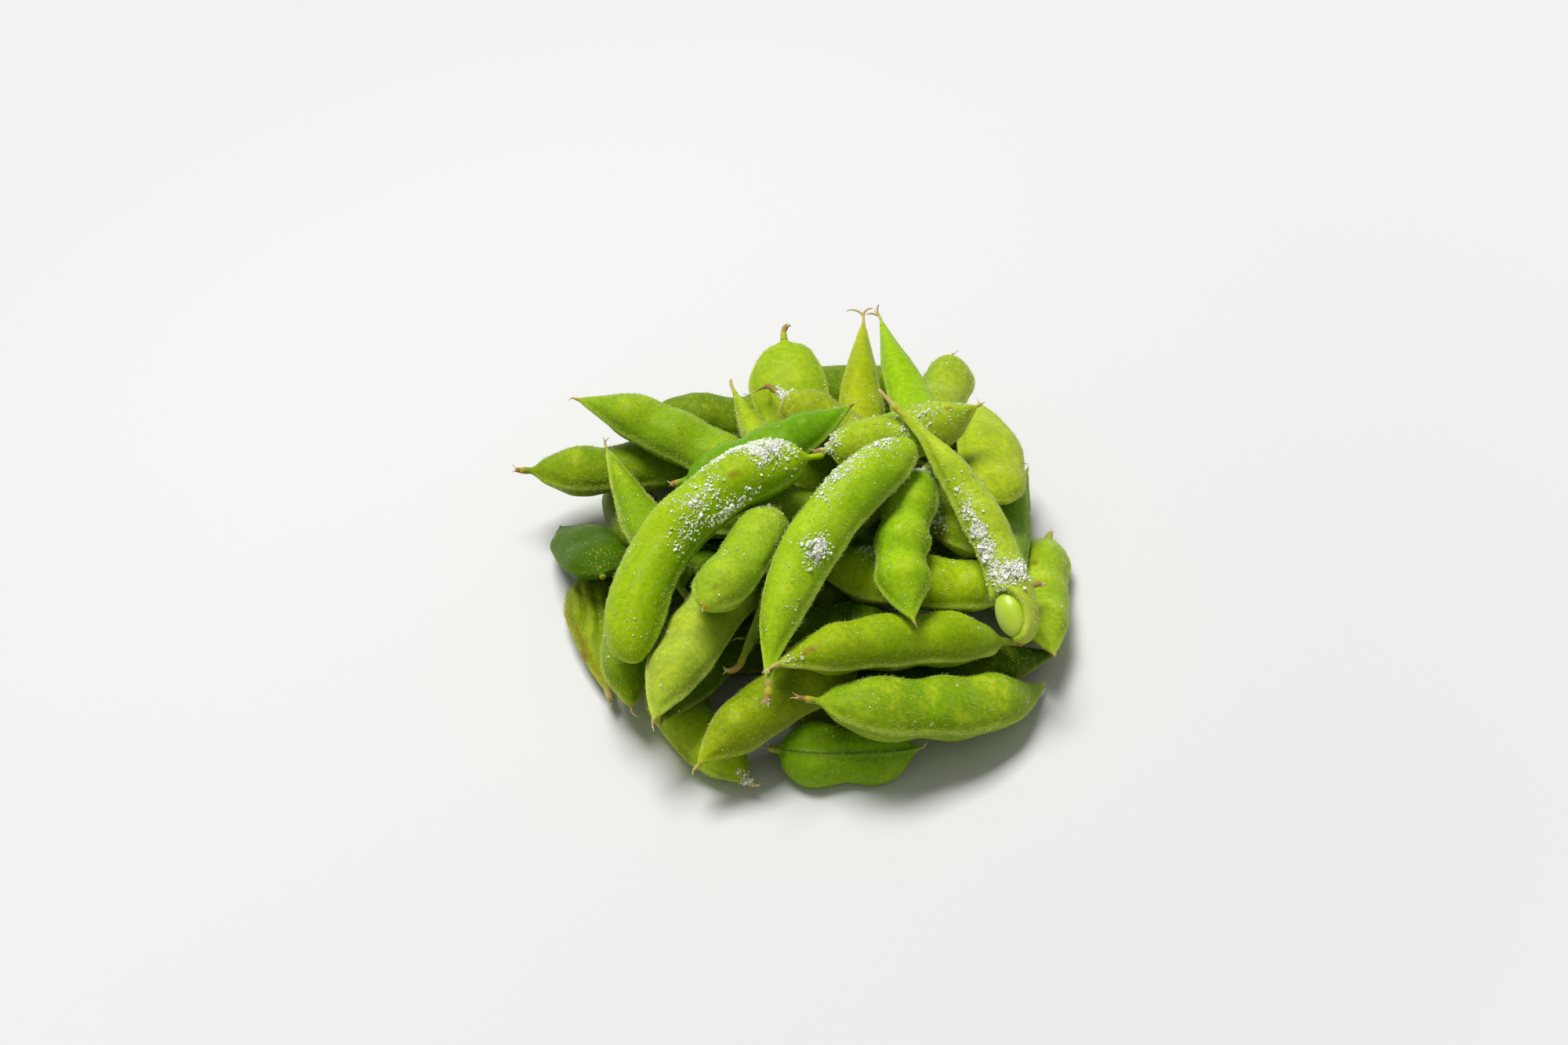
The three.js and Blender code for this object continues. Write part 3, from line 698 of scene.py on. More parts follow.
def skin_layers(pod):
    """What the skin's material needs to know at each point."""
    look = pod.look
    shape = pod.gap.shape
    left = (pod.reached[-1] - pod.reached)[:, None] / (DRY_SHARE * MM)
    gone = pod.reached[:, None] / (DRY_SHARE * MM)
    dry = np.exp(-left / look["beak"]) + np.exp(-gone / look["stalk"])
    seam = bell(pod.gap / (PALE_SEAM_MM * MM)) * pod.ends * look["seam"]
    beside = bell((pod.gap - BROWNED_AT_MM * MM) / (BROWNED_MM * MM)) * pod.ends
    line = bell(pod.gap / (DARK_LINE_MM * MM)) * pod.ends
    flat = {
        "dry": np.clip(dry, 0, 1) * np.ones(shape),
        "seam": np.clip(seam + PALE_LIP * pod.lip, 0, 1),
        "straw": np.full(shape, look["straw"]),
        "rust": beside * look["rust"],
        "bean": pod.bean,
        # painted shade: deeper green in the wrinkles' folds and on the inner side of the bend
        "crease": np.clip(pod.crease + look["inner"] * pod.inner, 0, 1),
        "mottle": np.full(shape, look["mottle"]),
        "gloss": np.full(shape, look["gloss"]),
        # the sunken split, which the skin's colour darkens as painted shade
        "split": pod.opened,
        "line": line * look["line"],
        "blemish": blemishes(pod),
        "along": pod.along[:, None] * np.ones(shape),
    }
    layers = {name: ends_joined(grid) for name, grid in flat.items()}
    layers["tint"] = ends_joined(np.broadcast_to(look["tint"], (*shape, 3)))
    layers["grown"] = ends_joined(pod.own)
    return layers


# ---------------------------------------------------------------------------------------------
# Dried ends: beaks, stalks and torn strands
# ---------------------------------------------------------------------------------------------

# One line per drawn-out end, in millimetres and degrees:
#   node, end, length, radius where it leaves the pod, radius at its tip, bend, the side it
#   bends to (0 towards the inner seam, 90 towards a broad side), paleness, torn strands
TIPS = [
    ("long_curved_pod", "stalk", 0.9, 1.0, 0.95, 15, 180, 0.25, 9),
    ("hooked_pod", "stalk", 3.6, 1.0, 0.65, 95, 200, 0.45, 4),
    ("waisted_pod", "beak", 1.2, 0.6, 0.25, 10, 0, 0.4, 1),
    ("slim_salted_pod", "stalk", 4.5, 0.95, 0.5, 14, 90, 0.95, 0),
    ("right_middle_pod", "beak", 0.5, 1.1, 0.8, 30, 180, 0.4, 4),
    ("front_right_lower_pod", "stalk", 1.4, 1.0, 0.6, 20, 20, 0.1, 3),
    ("front_right_upper_pod", "beak", 2.4, 0.8, 0.3, 30, 0, 0.8, 4),
    ("front_tucked_pod", "beak", 3.0, 0.9, 0.5, 30, 90, 0.1, 2),
    ("front_left_pod", "beak", 0.8, 0.8, 0.5, 15, 0, 0.8, 2),
    ("left_edge_on_pod", "beak", 2.0, 0.8, 0.5, 30, 0, 0.05, 2),
    ("left_spike_pod", "beak", 2.0, 0.6, 0.25, 20, 0, 0.8, 3),
    ("shrivelled_pod", "beak", 2.5, 1.2, 0.8, 20, 90, 0.85, 3),
    ("back_spike_pod", "beak", 2.5, 0.6, 0.3, 15, 180, 0.8, 1),
    ("back_green_spike_pod", "beak", 1.2, 0.6, 0.3, 30, 180, 0.85, 1),
    ("back_broad_pod", "stalk", 2.4, 0.95, 0.6, 60, 0, 0.35, 2),
    ("back_stalked_pod", "stalk", 4.0, 1.05, 0.8, 60, 90, 0.1, 3),
    ("back_slim_tips_pod", "beak", 3.0, 0.7, 0.3, 20, 0, 0.7, 2),
    ("left_round_end_pod", "beak", 0.4, 0.45, 0.25, 10, 0, 0.2, 1),
]
# Ends that have nothing drawn out from them. Ends in neither list get a short tip by chance.
BLUNT = {
    ("long_curved_pod", "beak"), ("crescent_pod", "beak"), ("crescent_pod", "stalk"),
    ("left_rounded_pod", "stalk"), ("slim_salted_pod", "beak"),
}
# Long curls that fork from such an end: node, end, and for each curl its length in mm, the bend
# in degrees and the side it bends to
CURLS = {
    ("back_spike_pod", "beak"): ((5.0, 110, 170), (4.2, 90, 10)),
    ("back_green_spike_pod", "beak"): ((3.6, 130, 200), (3.0, 100, 320)),
    ("back_stalked_pod", "stalk"): ((4.5, 40, 200), (4.0, 60, 20)),
    ("back_slim_tips_pod", "beak"): ((2.5, 40, 90),),
    ("back_broad_pod", "stalk"): ((1.8, 90, 90),),
}
CURL_RADII_MM = (0.42, 0.16)
STRAND_RADII_MM = (0.2, 0.05)
STRAND_LENGTHS_MM = (0.8, 2.0)
STRAND_BENDS = (20, 80)
STRAIGHT_INSIDE = 0.85  # share of the way inside the pod that a drawn-out end runs straight
SHORTEST_WAY_OUT_MM = 0.3  # below it the pole doesn't tell which way a pod's end points
TUBE_ROWS, TUBE_SIDES = 14, 8


def tube(path, radii, flat=0.8):
    """A closed tapering tube: circles of the given radii, flattened a little, square to the
    path. The rings hold still against turning by carrying one side vector along."""
    ahead = unit(np.gradient(path, axis=0))
    side = unit(np.cross(ahead, unit(np.array([0.3, 0.2, 0.93]))))
    other = np.cross(ahead, side)
    turn = np.arange(TUBE_SIDES) * 2 * np.pi / TUBE_SIDES
    spokes = side[:, None] * np.cos(turn)[None, :, None]
    spokes = spokes + flat * other[:, None] * np.sin(turn)[None, :, None]
    return path[:, None] + spokes * radii[:, None, None]


def curved_path(start, ahead, side, length, bend, straight=0.0, count=TUBE_ROWS):
    """A path that starts along one direction and turns towards a side: the sum of equal steps
    whose angle grows from 0, where the straight share of it ends, to the bend."""
    turned = np.clip((np.linspace(0, 1, count) - straight) / (1 - straight), 0, 1)
    angle = np.radians(bend) * turned**1.3
    steps = np.cos(angle)[:, None] * ahead + np.sin(angle)[:, None] * side
    path = np.cumsum(steps, axis=0) * length / (count - 1)
    return start + path - path[0]


def pod_end(pod, end, radius):
    """Where a tube of some radius leaves a pod's end: the middle of the last row at least that
    wide, with the way out, the way to the inner seam, and how far off the pole is."""
    girth = pod.radius.mean(1)
    order = np.arange(len(girth)) if end == "stalk" else np.arange(len(girth))[::-1]
    row = order[np.flatnonzero(girth[order] > radius)[0]]
    pole = pod.points[order[0], 0]
    start = pod.points[row].mean(0)
    out = unit(pole - start)
    if np.linalg.norm(pole - start) < SHORTEST_WAY_OUT_MM * MM:
        out = unit(start - pod.points[order[len(order) // 5]].mean(0))
    seam = pod.points[row, 0] - start
    seam = unit(seam - out * (seam @ out))
    return start, out, seam, np.linalg.norm(pole - start)


def sideways_at(degrees, seam, through):
    """The way to a side of a pod's end: 0 is to the inner seam and 90 to a broad side."""
    turn = np.radians(degrees)
    return np.cos(turn) * seam + np.sin(turn) * through


def closed_thin(radii_mm):
    """The radii of a thin tube, which taper evenly between two closed ends."""
    radii = np.linspace(*radii_mm, TUBE_ROWS) * MM
    radii[[0, -1]] = 0
    return radii


def dried_end(tip):
    """The parts of one drawn-out end: the tube, its curls and its torn strands."""
    node, end, length, first, last, bend, side, paleness, strands = tip
    pod = grown_pod(node)
    tint = pod.look["tint"]
    rng = dice(node + end)
    start, out, seam, inside = pod_end(pod, end, first * 1.02 * MM)
    through = np.cross(out, seam)
    reach = inside + length * MM
    towards = sideways_at(side, seam, through)
    path = curved_path(start, out, towards, reach, bend, STRAIGHT_INSIDE * inside / reach)
    share = np.linspace(0, 1, TUBE_ROWS)
    radii = (first + (last - first) * share) * MM
    radii = radii * (1 + 0.12 * np.sin(share * 9 + rng.uniform(0, 6)))
    radii[-2] *= 0.8
    radii[[0, -1]] = 0
    parts = [tube_part(tube(path, radii), share, tint, paleness)]
    ahead = unit(path[-1] - path[-3])
    for curl_length, turn, to in CURLS.get((node, end), ()):
        aside = sideways_at(to, seam, through)
        aside = unit(aside - ahead * (aside @ ahead))
        curl = curved_path(path[-3], unit(ahead + 0.25 * aside), aside, curl_length * MM, turn)
        curl = tube(curl, closed_thin(CURL_RADII_MM))
        parts.append(tube_part(curl, 0.7 + 0.3 * share, tint, paleness))
    for _ in range(strands):
        way = unit(ahead + 0.45 * rng.normal(size=3))
        aside = unit(np.cross(way, rng.normal(size=3)))
        begin = path[-2] + 0.6 * last * MM * aside
        reach = rng.uniform(*STRAND_LENGTHS_MM) * MM
        strand = curved_path(begin, way, aside, reach, rng.uniform(*STRAND_BENDS))
        strand = tube(strand, closed_thin(STRAND_RADII_MM))
        parts.append(tube_part(strand, np.ones(TUBE_ROWS), tint, 1.0))
    return parts


def chance_tip(node, end, rng):
    """A short tip for an end that isn't listed: a thin beak or a thicker stalk."""
    if end == "beak":
        length, first, last, bend = rng.uniform(0.5, 1.5), 0.6, 0.25, rng.uniform(10, 50)
        side, paleness, strands = rng.uniform(0, 360), rng.uniform(0.2, 0.9), 1
    else:
        length, first, last, bend = rng.uniform(0.5, 1.4), 1.0, 0.75, rng.uniform(0, 30)
        side, paleness, strands = rng.uniform(0, 360), rng.uniform(0.1, 0.6), 2
    return node, end, length, first, last, bend, side, paleness, strands


def tube_part(points, share, tint, paleness):
    """A tube as points, quads, triangles and layers, kept above the floor."""
    rows, columns = points.shape[:2]
    wide = np.ones((1, columns))
    layers = {
        "along": ends_joined(share[:, None] * wide),
        "paleness": ends_joined(np.full((rows, columns), paleness)),
        "tint": ends_joined(np.broadcast_to(tint, (rows, columns, 3))),
    }
    points = ends_joined(points)
    keep_above_floor(points)
    return points, *closed_faces(rows, columns), layers


# ---------------------------------------------------------------------------------------------
# Scattered things: hairs and salt
# ---------------------------------------------------------------------------------------------


def scatter(pod, count, weight, rng):
    """Chance spots on a pod: a cell is drawn by its area times its weight, and a place in it by
    mixing its four corners. Gives the places, the normals and the way towards the beak."""
    points, normals = pod.points, pod.normals
    beside = np.roll(points, -1, axis=1)
    cell = np.cross(beside[:-1] - points[:-1], points[1:] - points[:-1])
    area = np.linalg.norm(cell, axis=-1) * weight[:-1]
    chance = area.ravel() / area.sum()
    row, column = np.divmod(rng.choice(chance.size, count, p=chance), points.shape[1])
    after = (column + 1) % points.shape[1]
    down, over = rng.uniform(size=(2, count, 1))

    def mixed(grid):
        near = grid[row, column] * (1 - over) + grid[row, after] * over
        far = grid[row + 1, column] * (1 - over) + grid[row + 1, after] * over
        return near * (1 - down) + far * down

    ahead = unit(points[row + 1, column] - points[row, column])
    return mixed(points), unit(mixed(normals)), ahead


# A hair's corners: 0 to 2 round its root, 3 to 5 round its bend, and 6 at its tip
HAIR_FACES = np.array([[0, 1, 4, 3], [1, 2, 5, 4], [2, 0, 3, 5]])
HAIR_ENDS = np.array([[3, 4, 6], [4, 5, 6], [5, 3, 6], [0, 2, 1]])
HAIR_RISES = (0.25, 1.0)  # how steeply a hair leaves the skin, against along it
HAIR_LENGTHS = (0.45, 1.35)  # against a middling hair's
HAIR_ROOT = 0.1  # share of a hair that is in the skin
HAIR_BEND = 0.6  # share of a hair after which it bends


def hairs(spots, normals, ahead, length, width, rng):
    """Short bent hairs: a triangle at the root, a smaller one at the bend, and a tip. A hair
    leaves at a slant and bends down along the pod."""
    count = len(spots)
    sideways = unit(rng.normal(size=(count, 3)))
    rise = rng.uniform(*HAIR_RISES, (count, 1))
    first = unit(ahead + rise * normals + 0.45 * sideways)
    then = unit(first + 0.6 * ahead + 0.35 * unit(rng.normal(size=(count, 3))))
    reach = length * rng.uniform(*HAIR_LENGTHS, (count, 1))
    across = unit(np.cross(first, sideways))[:, None]
    other = np.cross(first[:, None], across)
    turn = np.arange(3)[None, :, None] * 2 * np.pi / 3
    ring = across * np.cos(turn) + other * np.sin(turn)
    root = spots - HAIR_ROOT * reach * first
    bend = spots + HAIR_BEND * reach * first
    tip = bend + (1 - HAIR_BEND) * reach * then
    root_ring = root[:, None] + ring * width / 2
    bend_ring = bend[:, None] + ring * width / 3
    points = np.concatenate([root_ring, bend_ring, tip[:, None]], axis=1)
    start = np.arange(count)[:, None, None] * points.shape[1]
    quads = (HAIR_FACES[None] + start).reshape(-1, 4)
    ends = (HAIR_ENDS[None] + start).reshape(-1, 3)
    tone = np.repeat(rng.uniform(size=count), points.shape[1])
    points = points.reshape(-1, 3)
    keep_above_floor(points)
    return points, quads, ends, {"tone": tone}


DOWN_PIECES = 3  # among which the hairy pods are shared out
DOWNY_SEAM_MM = 1.4  # half the width of the stretch with more hairs along a seam
COVERED_DOWN = 0.2  # share of the usual hairs that a covered pod has
USUAL_LENGTH = 0.05  # of the pod that the number of hairs is given for


def down_on(node, settings):
    """The hairs of one pod: more of them along pale seams, and fewer on a glossy skin."""
    pod = grown_pod(node)
    rng = dice(node + " down")
    look = pod.look
    seam = bell(pod.gap / (DOWNY_SEAM_MM * MM))
    weight = pod.slim * (0.5 + seam * 3 * look["seam"])
    weight = weight * (pod.normals[..., 2] > -0.4) * (1 - pod.opened)
    count = settings.per_pod * look["down"] * (1.15 - look["gloss"]) ** 2
    count = count * pod.length / USUAL_LENGTH
    count = int(count * (COVERED_DOWN if is_covered(node) else 1))
    spots = scatter(pod, count, weight, rng)
    return hairs(*spots, settings.length, settings.width, rng)


CUBE = np.array([[x, y, z] for x in (-0.5, 0.5) for y in (-0.5, 0.5) for z in (-0.5, 0.5)])
CUBE_FACES = np.array(
    [[0, 1, 3, 2], [4, 6, 7, 5], [0, 4, 5, 1], [2, 3, 7, 6], [0, 2, 6, 4], [1, 5, 7, 3]]
)
GRAIN_SPREAD = 0.4  # of the logarithm of a grain's size
GRAIN_SIDES = (0.6, 1.25)  # its sides, against its size
GRAIN_CHIPPED = 0.14  # how far a corner may be off a true block's, as a share of its sides
GRAIN_RAISED = 0.3  # how far its middle is above what it lies on, against its size


def crystals(spots, normals, size, rng):
    """Grains of salt: cubes whose sides and corners differ by chance, turned by chance, sunk a
    little into what they lie on."""
    count = len(spots)
    grain = size * np.exp(rng.normal(-0.1, GRAIN_SPREAD, (count, 1)))
    sides = grain * rng.uniform(*GRAIN_SIDES, (count, 3))
    turned = np.linalg.qr(rng.normal(size=(count, 3, 3)))[0]
    chips = rng.uniform(-GRAIN_CHIPPED, GRAIN_CHIPPED, (count, len(CUBE), 3))
    corners = (CUBE[None] + chips) * sides[:, None]
    corners = np.einsum("gci,gij->gcj", corners, turned)
    places = spots + normals * GRAIN_RAISED * grain
    points = (corners + places[:, None]).reshape(-1, 3)
    quads = (CUBE_FACES[None] + len(CUBE) * np.arange(count)[:, None, None]).reshape(-1, 4)
    flips = np.repeat(np.linalg.det(turned) < 0, len(CUBE_FACES))
    quads[flips] = quads[flips][:, ::-1]
    tone = np.repeat(rng.uniform(size=count), len(CUBE))
    return points, quads, np.zeros((0, 3), int), {"tone": tone}


# One line per patch of salt: node, share of its length, the way that spot faces, half length
# and half width in mm, grains, height of the pile in mm
PATCHES = [
    ("crescent_pod", 0.16, (-0.2, -0.2, 0.95), 3.6, 3.0, 420, 0.9),
    ("crescent_pod", 0.26, (-0.3, 0.5, 0.8), 7.0, 1.4, 190, 0.4),
    ("crescent_pod", 0.42, (0.1, -0.3, 0.9), 5.0, 3.2, 110, 0.2),
    ("crescent_pod", 0.52, (0.5, -0.6, 0.6), 5.0, 1.8, 80, 0.2),
    ("crescent_pod", 0.36, (0.6, -0.7, 0.3), 5.0, 1.4, 110, 0.2),
    ("long_curved_pod", 0.46, (0.2, -0.5, 0.8), 2.4, 1.9, 190, 0.8),
    ("long_curved_pod", 0.72, (-0.5, 0.2, 0.8), 6.0, 2.6, 130, 0.3),
    ("long_curved_pod", 0.88, (-0.6, 0.0, 0.8), 4.0, 2.4, 70, 0.3),
    ("slim_salted_pod", 0.62, (-0.5, -0.4, 0.8), 9.0, 1.7, 420, 0.7),
    ("slim_salted_pod", 0.76, (0.0, 0.1, 1.0), 1.8, 3.2, 300, 0.9),
    ("salted_right_pod", 0.46, (0.0, -0.3, 1.0), 2.8, 2.1, 170, 0.8),
    ("salted_right_pod", 0.6, (-0.2, -0.5, 0.8), 3.6, 1.8, 120, 0.5),
    ("top_short_pod", 0.6, (0.1, -0.2, 1.0), 6.0, 3.0, 90, 0.2),
    ("top_short_pod", 0.08, (0, 0, 1), 2.6, 2.0, 60, 0.6),
    ("back_stalked_pod", 0.05, (0, 0, 1), 2.4, 1.6, 60, 0.6),
    ("waisted_pod", 0.08, (-0.6, 0.2, 0.8), 2.0, 1.6, 60, 0.4),
    ("front_right_upper_pod", 0.93, (0, -0.5, 0.8), 3.0, 1.6, 12, 0.2),
    ("left_round_end_pod", 0.1, (-0.5, 0.2, 0.8), 4.0, 2.0, 70, 0.3),
    ("front_left_pod", 0.97, (0, -0.3, 1), 1.8, 1.6, 50, 0.5),
    ("right_middle_pod", 0.3, (0, 0.2, 1), 5.0, 1.8, 60, 0.3),
]

# How many loose grains lie on the pods that are open to the sky, against 1 for the rest
SPRINKLED = {
    "crescent_pod": 5, "long_curved_pod": 5, "waisted_pod": 4, "slim_salted_pod": 4,
    "salted_right_pod": 3, "top_short_pod": 4, "back_stalked_pod": 3, "right_middle_pod": 2,
    "left_round_end_pod": 4, "front_right_upper_pod": 1.2, "front_right_lower_pod": 1,
    "left_edge_on_pod": 3, "left_seam_pod": 2, "dark_smooth_pod": 1, "right_edge_pod": 1.5,
    "front_left_pod": 2, "left_spike_pod": 2, "left_rounded_pod": 0.2, "front_seam_pod": 0.5,
    "front_fuzzy_pod": 0.6, "shrivelled_pod": 0.6, "back_green_spike_pod": 0.6,
}
SPRINKLED_COVERED = 0.3
LOOSE_SIZE = 0.55  # size of a loose grain, against one in a patch


def salt_patch(number, patch, settings):
    """The grains of one patch. They are strewn in a bell about its middle with a torn edge, and
    are raised by chance into a bell-shaped pile."""
    node, share, facing, long_half, wide_half, count, pile = patch
    pod = grown_pod(node)
    rng = dice(f"{node} patch {number}")
    near = spot_distance(pod, share, facing, long_half, wide_half)
    torn = 0.45 + 0.55 * np.clip(1 + 1.2 * ripple(pod.own, rng, 3.5 * MM), 0, 2)
    weight = bell(near) * torn * (pod.normals[..., 2] > 0.05)
    count = int(settings.heaped * count)
    spots, normals, _ = scatter(pod, count, weight, rng)
    row, column = nearest_facing(pod.normals, pod.along, share, facing)
    away = np.linalg.norm(spots - pod.points[row, column], axis=-1)
    away = away / (min(long_half, wide_half) * MM)
    height = pile * MM * rng.uniform(size=count) ** 2 * bell(away)
    return crystals(spots + height[:, None] * normals, normals, settings.grain, rng)


def loose_salt(node, settings):
    """The loose grains on one pod: in soft clouds, more where it faces up, none in the split."""
    pod = grown_pod(node)
    rng = dice(node + " salt")
    weight = np.clip(pod.normals[..., 2], 0, 1) ** 1.5 * (1 - pod.opened)
    weight = weight * np.clip(0.6 + 1.3 * ripple(pod.own, rng, 9 * MM), 0.06, None)
    usual = SPRINKLED_COVERED if is_covered(node) else 1
    count = int(settings.loose * SPRINKLED.get(node, usual))
    spots, normals, _ = scatter(pod, count, weight + 1e-9, rng)
    return crystals(spots, normals, LOOSE_SIZE * settings.grain, rng)


# ---------------------------------------------------------------------------------------------
# Materials
# ---------------------------------------------------------------------------------------------


def feed(tree, node, sockets):
    """Sets or links a node's inputs, which are given by name or number."""
    for key, value in sockets.items():
        if isinstance(value, bpy.types.NodeSocket):
            tree.links.new(value, node.inputs[key])
        else:
            node.inputs[key].default_value = value


def put(tree, kind, sockets=(), **fields):
    """Adds a node, with its fields and its inputs."""
    node = tree.nodes.new(kind)
    for field, value in fields.items():
        setattr(node, field, value)
    feed(tree, node, dict(sockets))
    return node


def mix(tree, factor, first, second, blend="MIX"):
    """A blend of two colours, each a socket or red, green and blue."""
    first, second = (
        value if isinstance(value, bpy.types.NodeSocket) else (*value, 1)
        for value in (first, second)
    )
    sockets = {0: factor, 6: first, 7: second}
    return put(tree, "ShaderNodeMix", sockets, data_type="RGBA", blend_type=blend).outputs[2]


def sums(tree, operation, first, second):
    return put(tree, "ShaderNodeMath", {0: first, 1: second}, operation=operation).outputs[0]


def times(tree, first, second):
    return sums(tree, "MULTIPLY", first, second)


def stretch(tree, value, low, high, first=0.0, last=1.0):
    """A value stretched evenly from one range to another, and kept within it."""
    return put(
        tree, "ShaderNodeMapRange", {0: value, 1: low, 2: high, 3: first, 4: last}
    ).outputs[0]


def layer(tree, name, output="Fac"):
    """A value that the mesh stores at each of its points."""
    return put(tree, "ShaderNodeAttribute", attribute_name=name).outputs[output]


def noise(tree, where, scale, detail=2.0, rough=0.5):
    sockets = {"Vector": where, "Scale": scale, "Detail": detail, "Roughness": rough}
    return put(tree, "ShaderNodeTexNoise", sockets).outputs["Fac"]


def cells(tree, where, scale):
    """How far a place is from the nearest of many chance points, in cells."""
    sockets = {"Vector": where, "Scale": scale}
    return put(tree, "ShaderNodeTexVoronoi", sockets).outputs["Distance"]


def bump(tree, shader, height, strength, distance):
    """Relief in the material alone, on its normal."""
    inputs = {"Height": height, "Strength": strength, "Distance": distance}
    relief = put(tree, "ShaderNodeBump", inputs)
    feed(tree, shader, {"Normal": relief.outputs[0]})


def object_places(tree):
    return put(tree, "ShaderNodeTexCoord").outputs["Object"]


def new_group(name, inputs, outputs):
    """An empty node group with the named sockets: its tree, what it is given, and its result."""
    tree = bpy.data.node_groups.new(name, "ShaderNodeTree")
    for label, kind, value in inputs:
        socket = tree.interface.new_socket(label, in_out="INPUT", socket_type=kind)
        socket.default_value = value
    for label, kind in outputs:
        tree.interface.new_socket(label, in_out="OUTPUT", socket_type=kind)
    return tree, tree.nodes.new("NodeGroupInput").outputs, tree.nodes.new("NodeGroupOutput")


def speckle_group():
    """Pale dots, the roots of the down, and a few brown pinpricks, on any skin."""
    tree, given, result = new_group(
        "Skin specks",
        [
            ("Where", "NodeSocketVector", (0, 0, 0)),
            ("Dots per metre", "NodeSocketFloat", 1400.0),
            ("Dot size", "NodeSocketFloat", 0.19),
        ],
        [("Dots", "NodeSocketFloat"), ("Pinpricks", "NodeSocketFloat")],
    )
    spread = stretch(tree, noise(tree, given["Where"], 210.0, 2.0), 0.35, 0.65, 0.35, 1.6)
    dots = cells(tree, given["Where"], given["Dots per metre"])
    reach = times(tree, given["Dot size"], spread)
    inside = sums(tree, "SUBTRACT", 1.0, sums(tree, "DIVIDE", dots, reach))
    rare = cells(tree, given["Where"], 160.0)
    thin = stretch(tree, noise(tree, given["Where"], 60.0, 1.0), 0.5, 0.7)
    pricks = times(tree, stretch(tree, rare, 0.1, 0.03), thin)
    feed(tree, result, {"Dots": stretch(tree, inside, 0.0, 0.6), "Pinpricks": pricks})
    return tree


def clouded_green(tree, given, where, clouds, fine):
    """A pod's own tint with a deeper green in wide clouds, a pale yellow in mottled ones, most
    over the beans, and a fine grain of light and shade. Gives it and the deeper green."""
    tint = layer(tree, "tint", "Color")
    wide = noise(tree, where, 62.0, 2.0, 0.55)
    nap = stretch(tree, noise(tree, where, 2400.0, 2.0, 0.7), 0.35, 0.65, 0.55, 1.3)
    deeper = mix(tree, 1.0, tint, given["Green"], "MULTIPLY")
    green = stretch(tree, wide, 0.42, 0.68, 0.0, given["Depth of clouds"])
    colour = mix(tree, green, tint, deeper)
    mottle = times(tree, layer(tree, "mottle"), stretch(tree, clouds, 0.46, 0.66))
    over_bean = stretch(tree, layer(tree, "bean"), 0.0, 1.0, 0.35, 1.0)
    mottle = times(tree, times(tree, mottle, over_bean), nap)
    colour = mix(tree, times(tree, mottle, 0.7), colour, given["Pale"])
    shade = stretch(tree, fine, 0.3, 0.7, 0.82, 1.14)
    shade = put(tree, "ShaderNodeCombineColor", {0: shade, 1: shade, 2: shade}).outputs[0]
    return mix(tree, 1.0, colour, shade, "MULTIPLY"), deeper


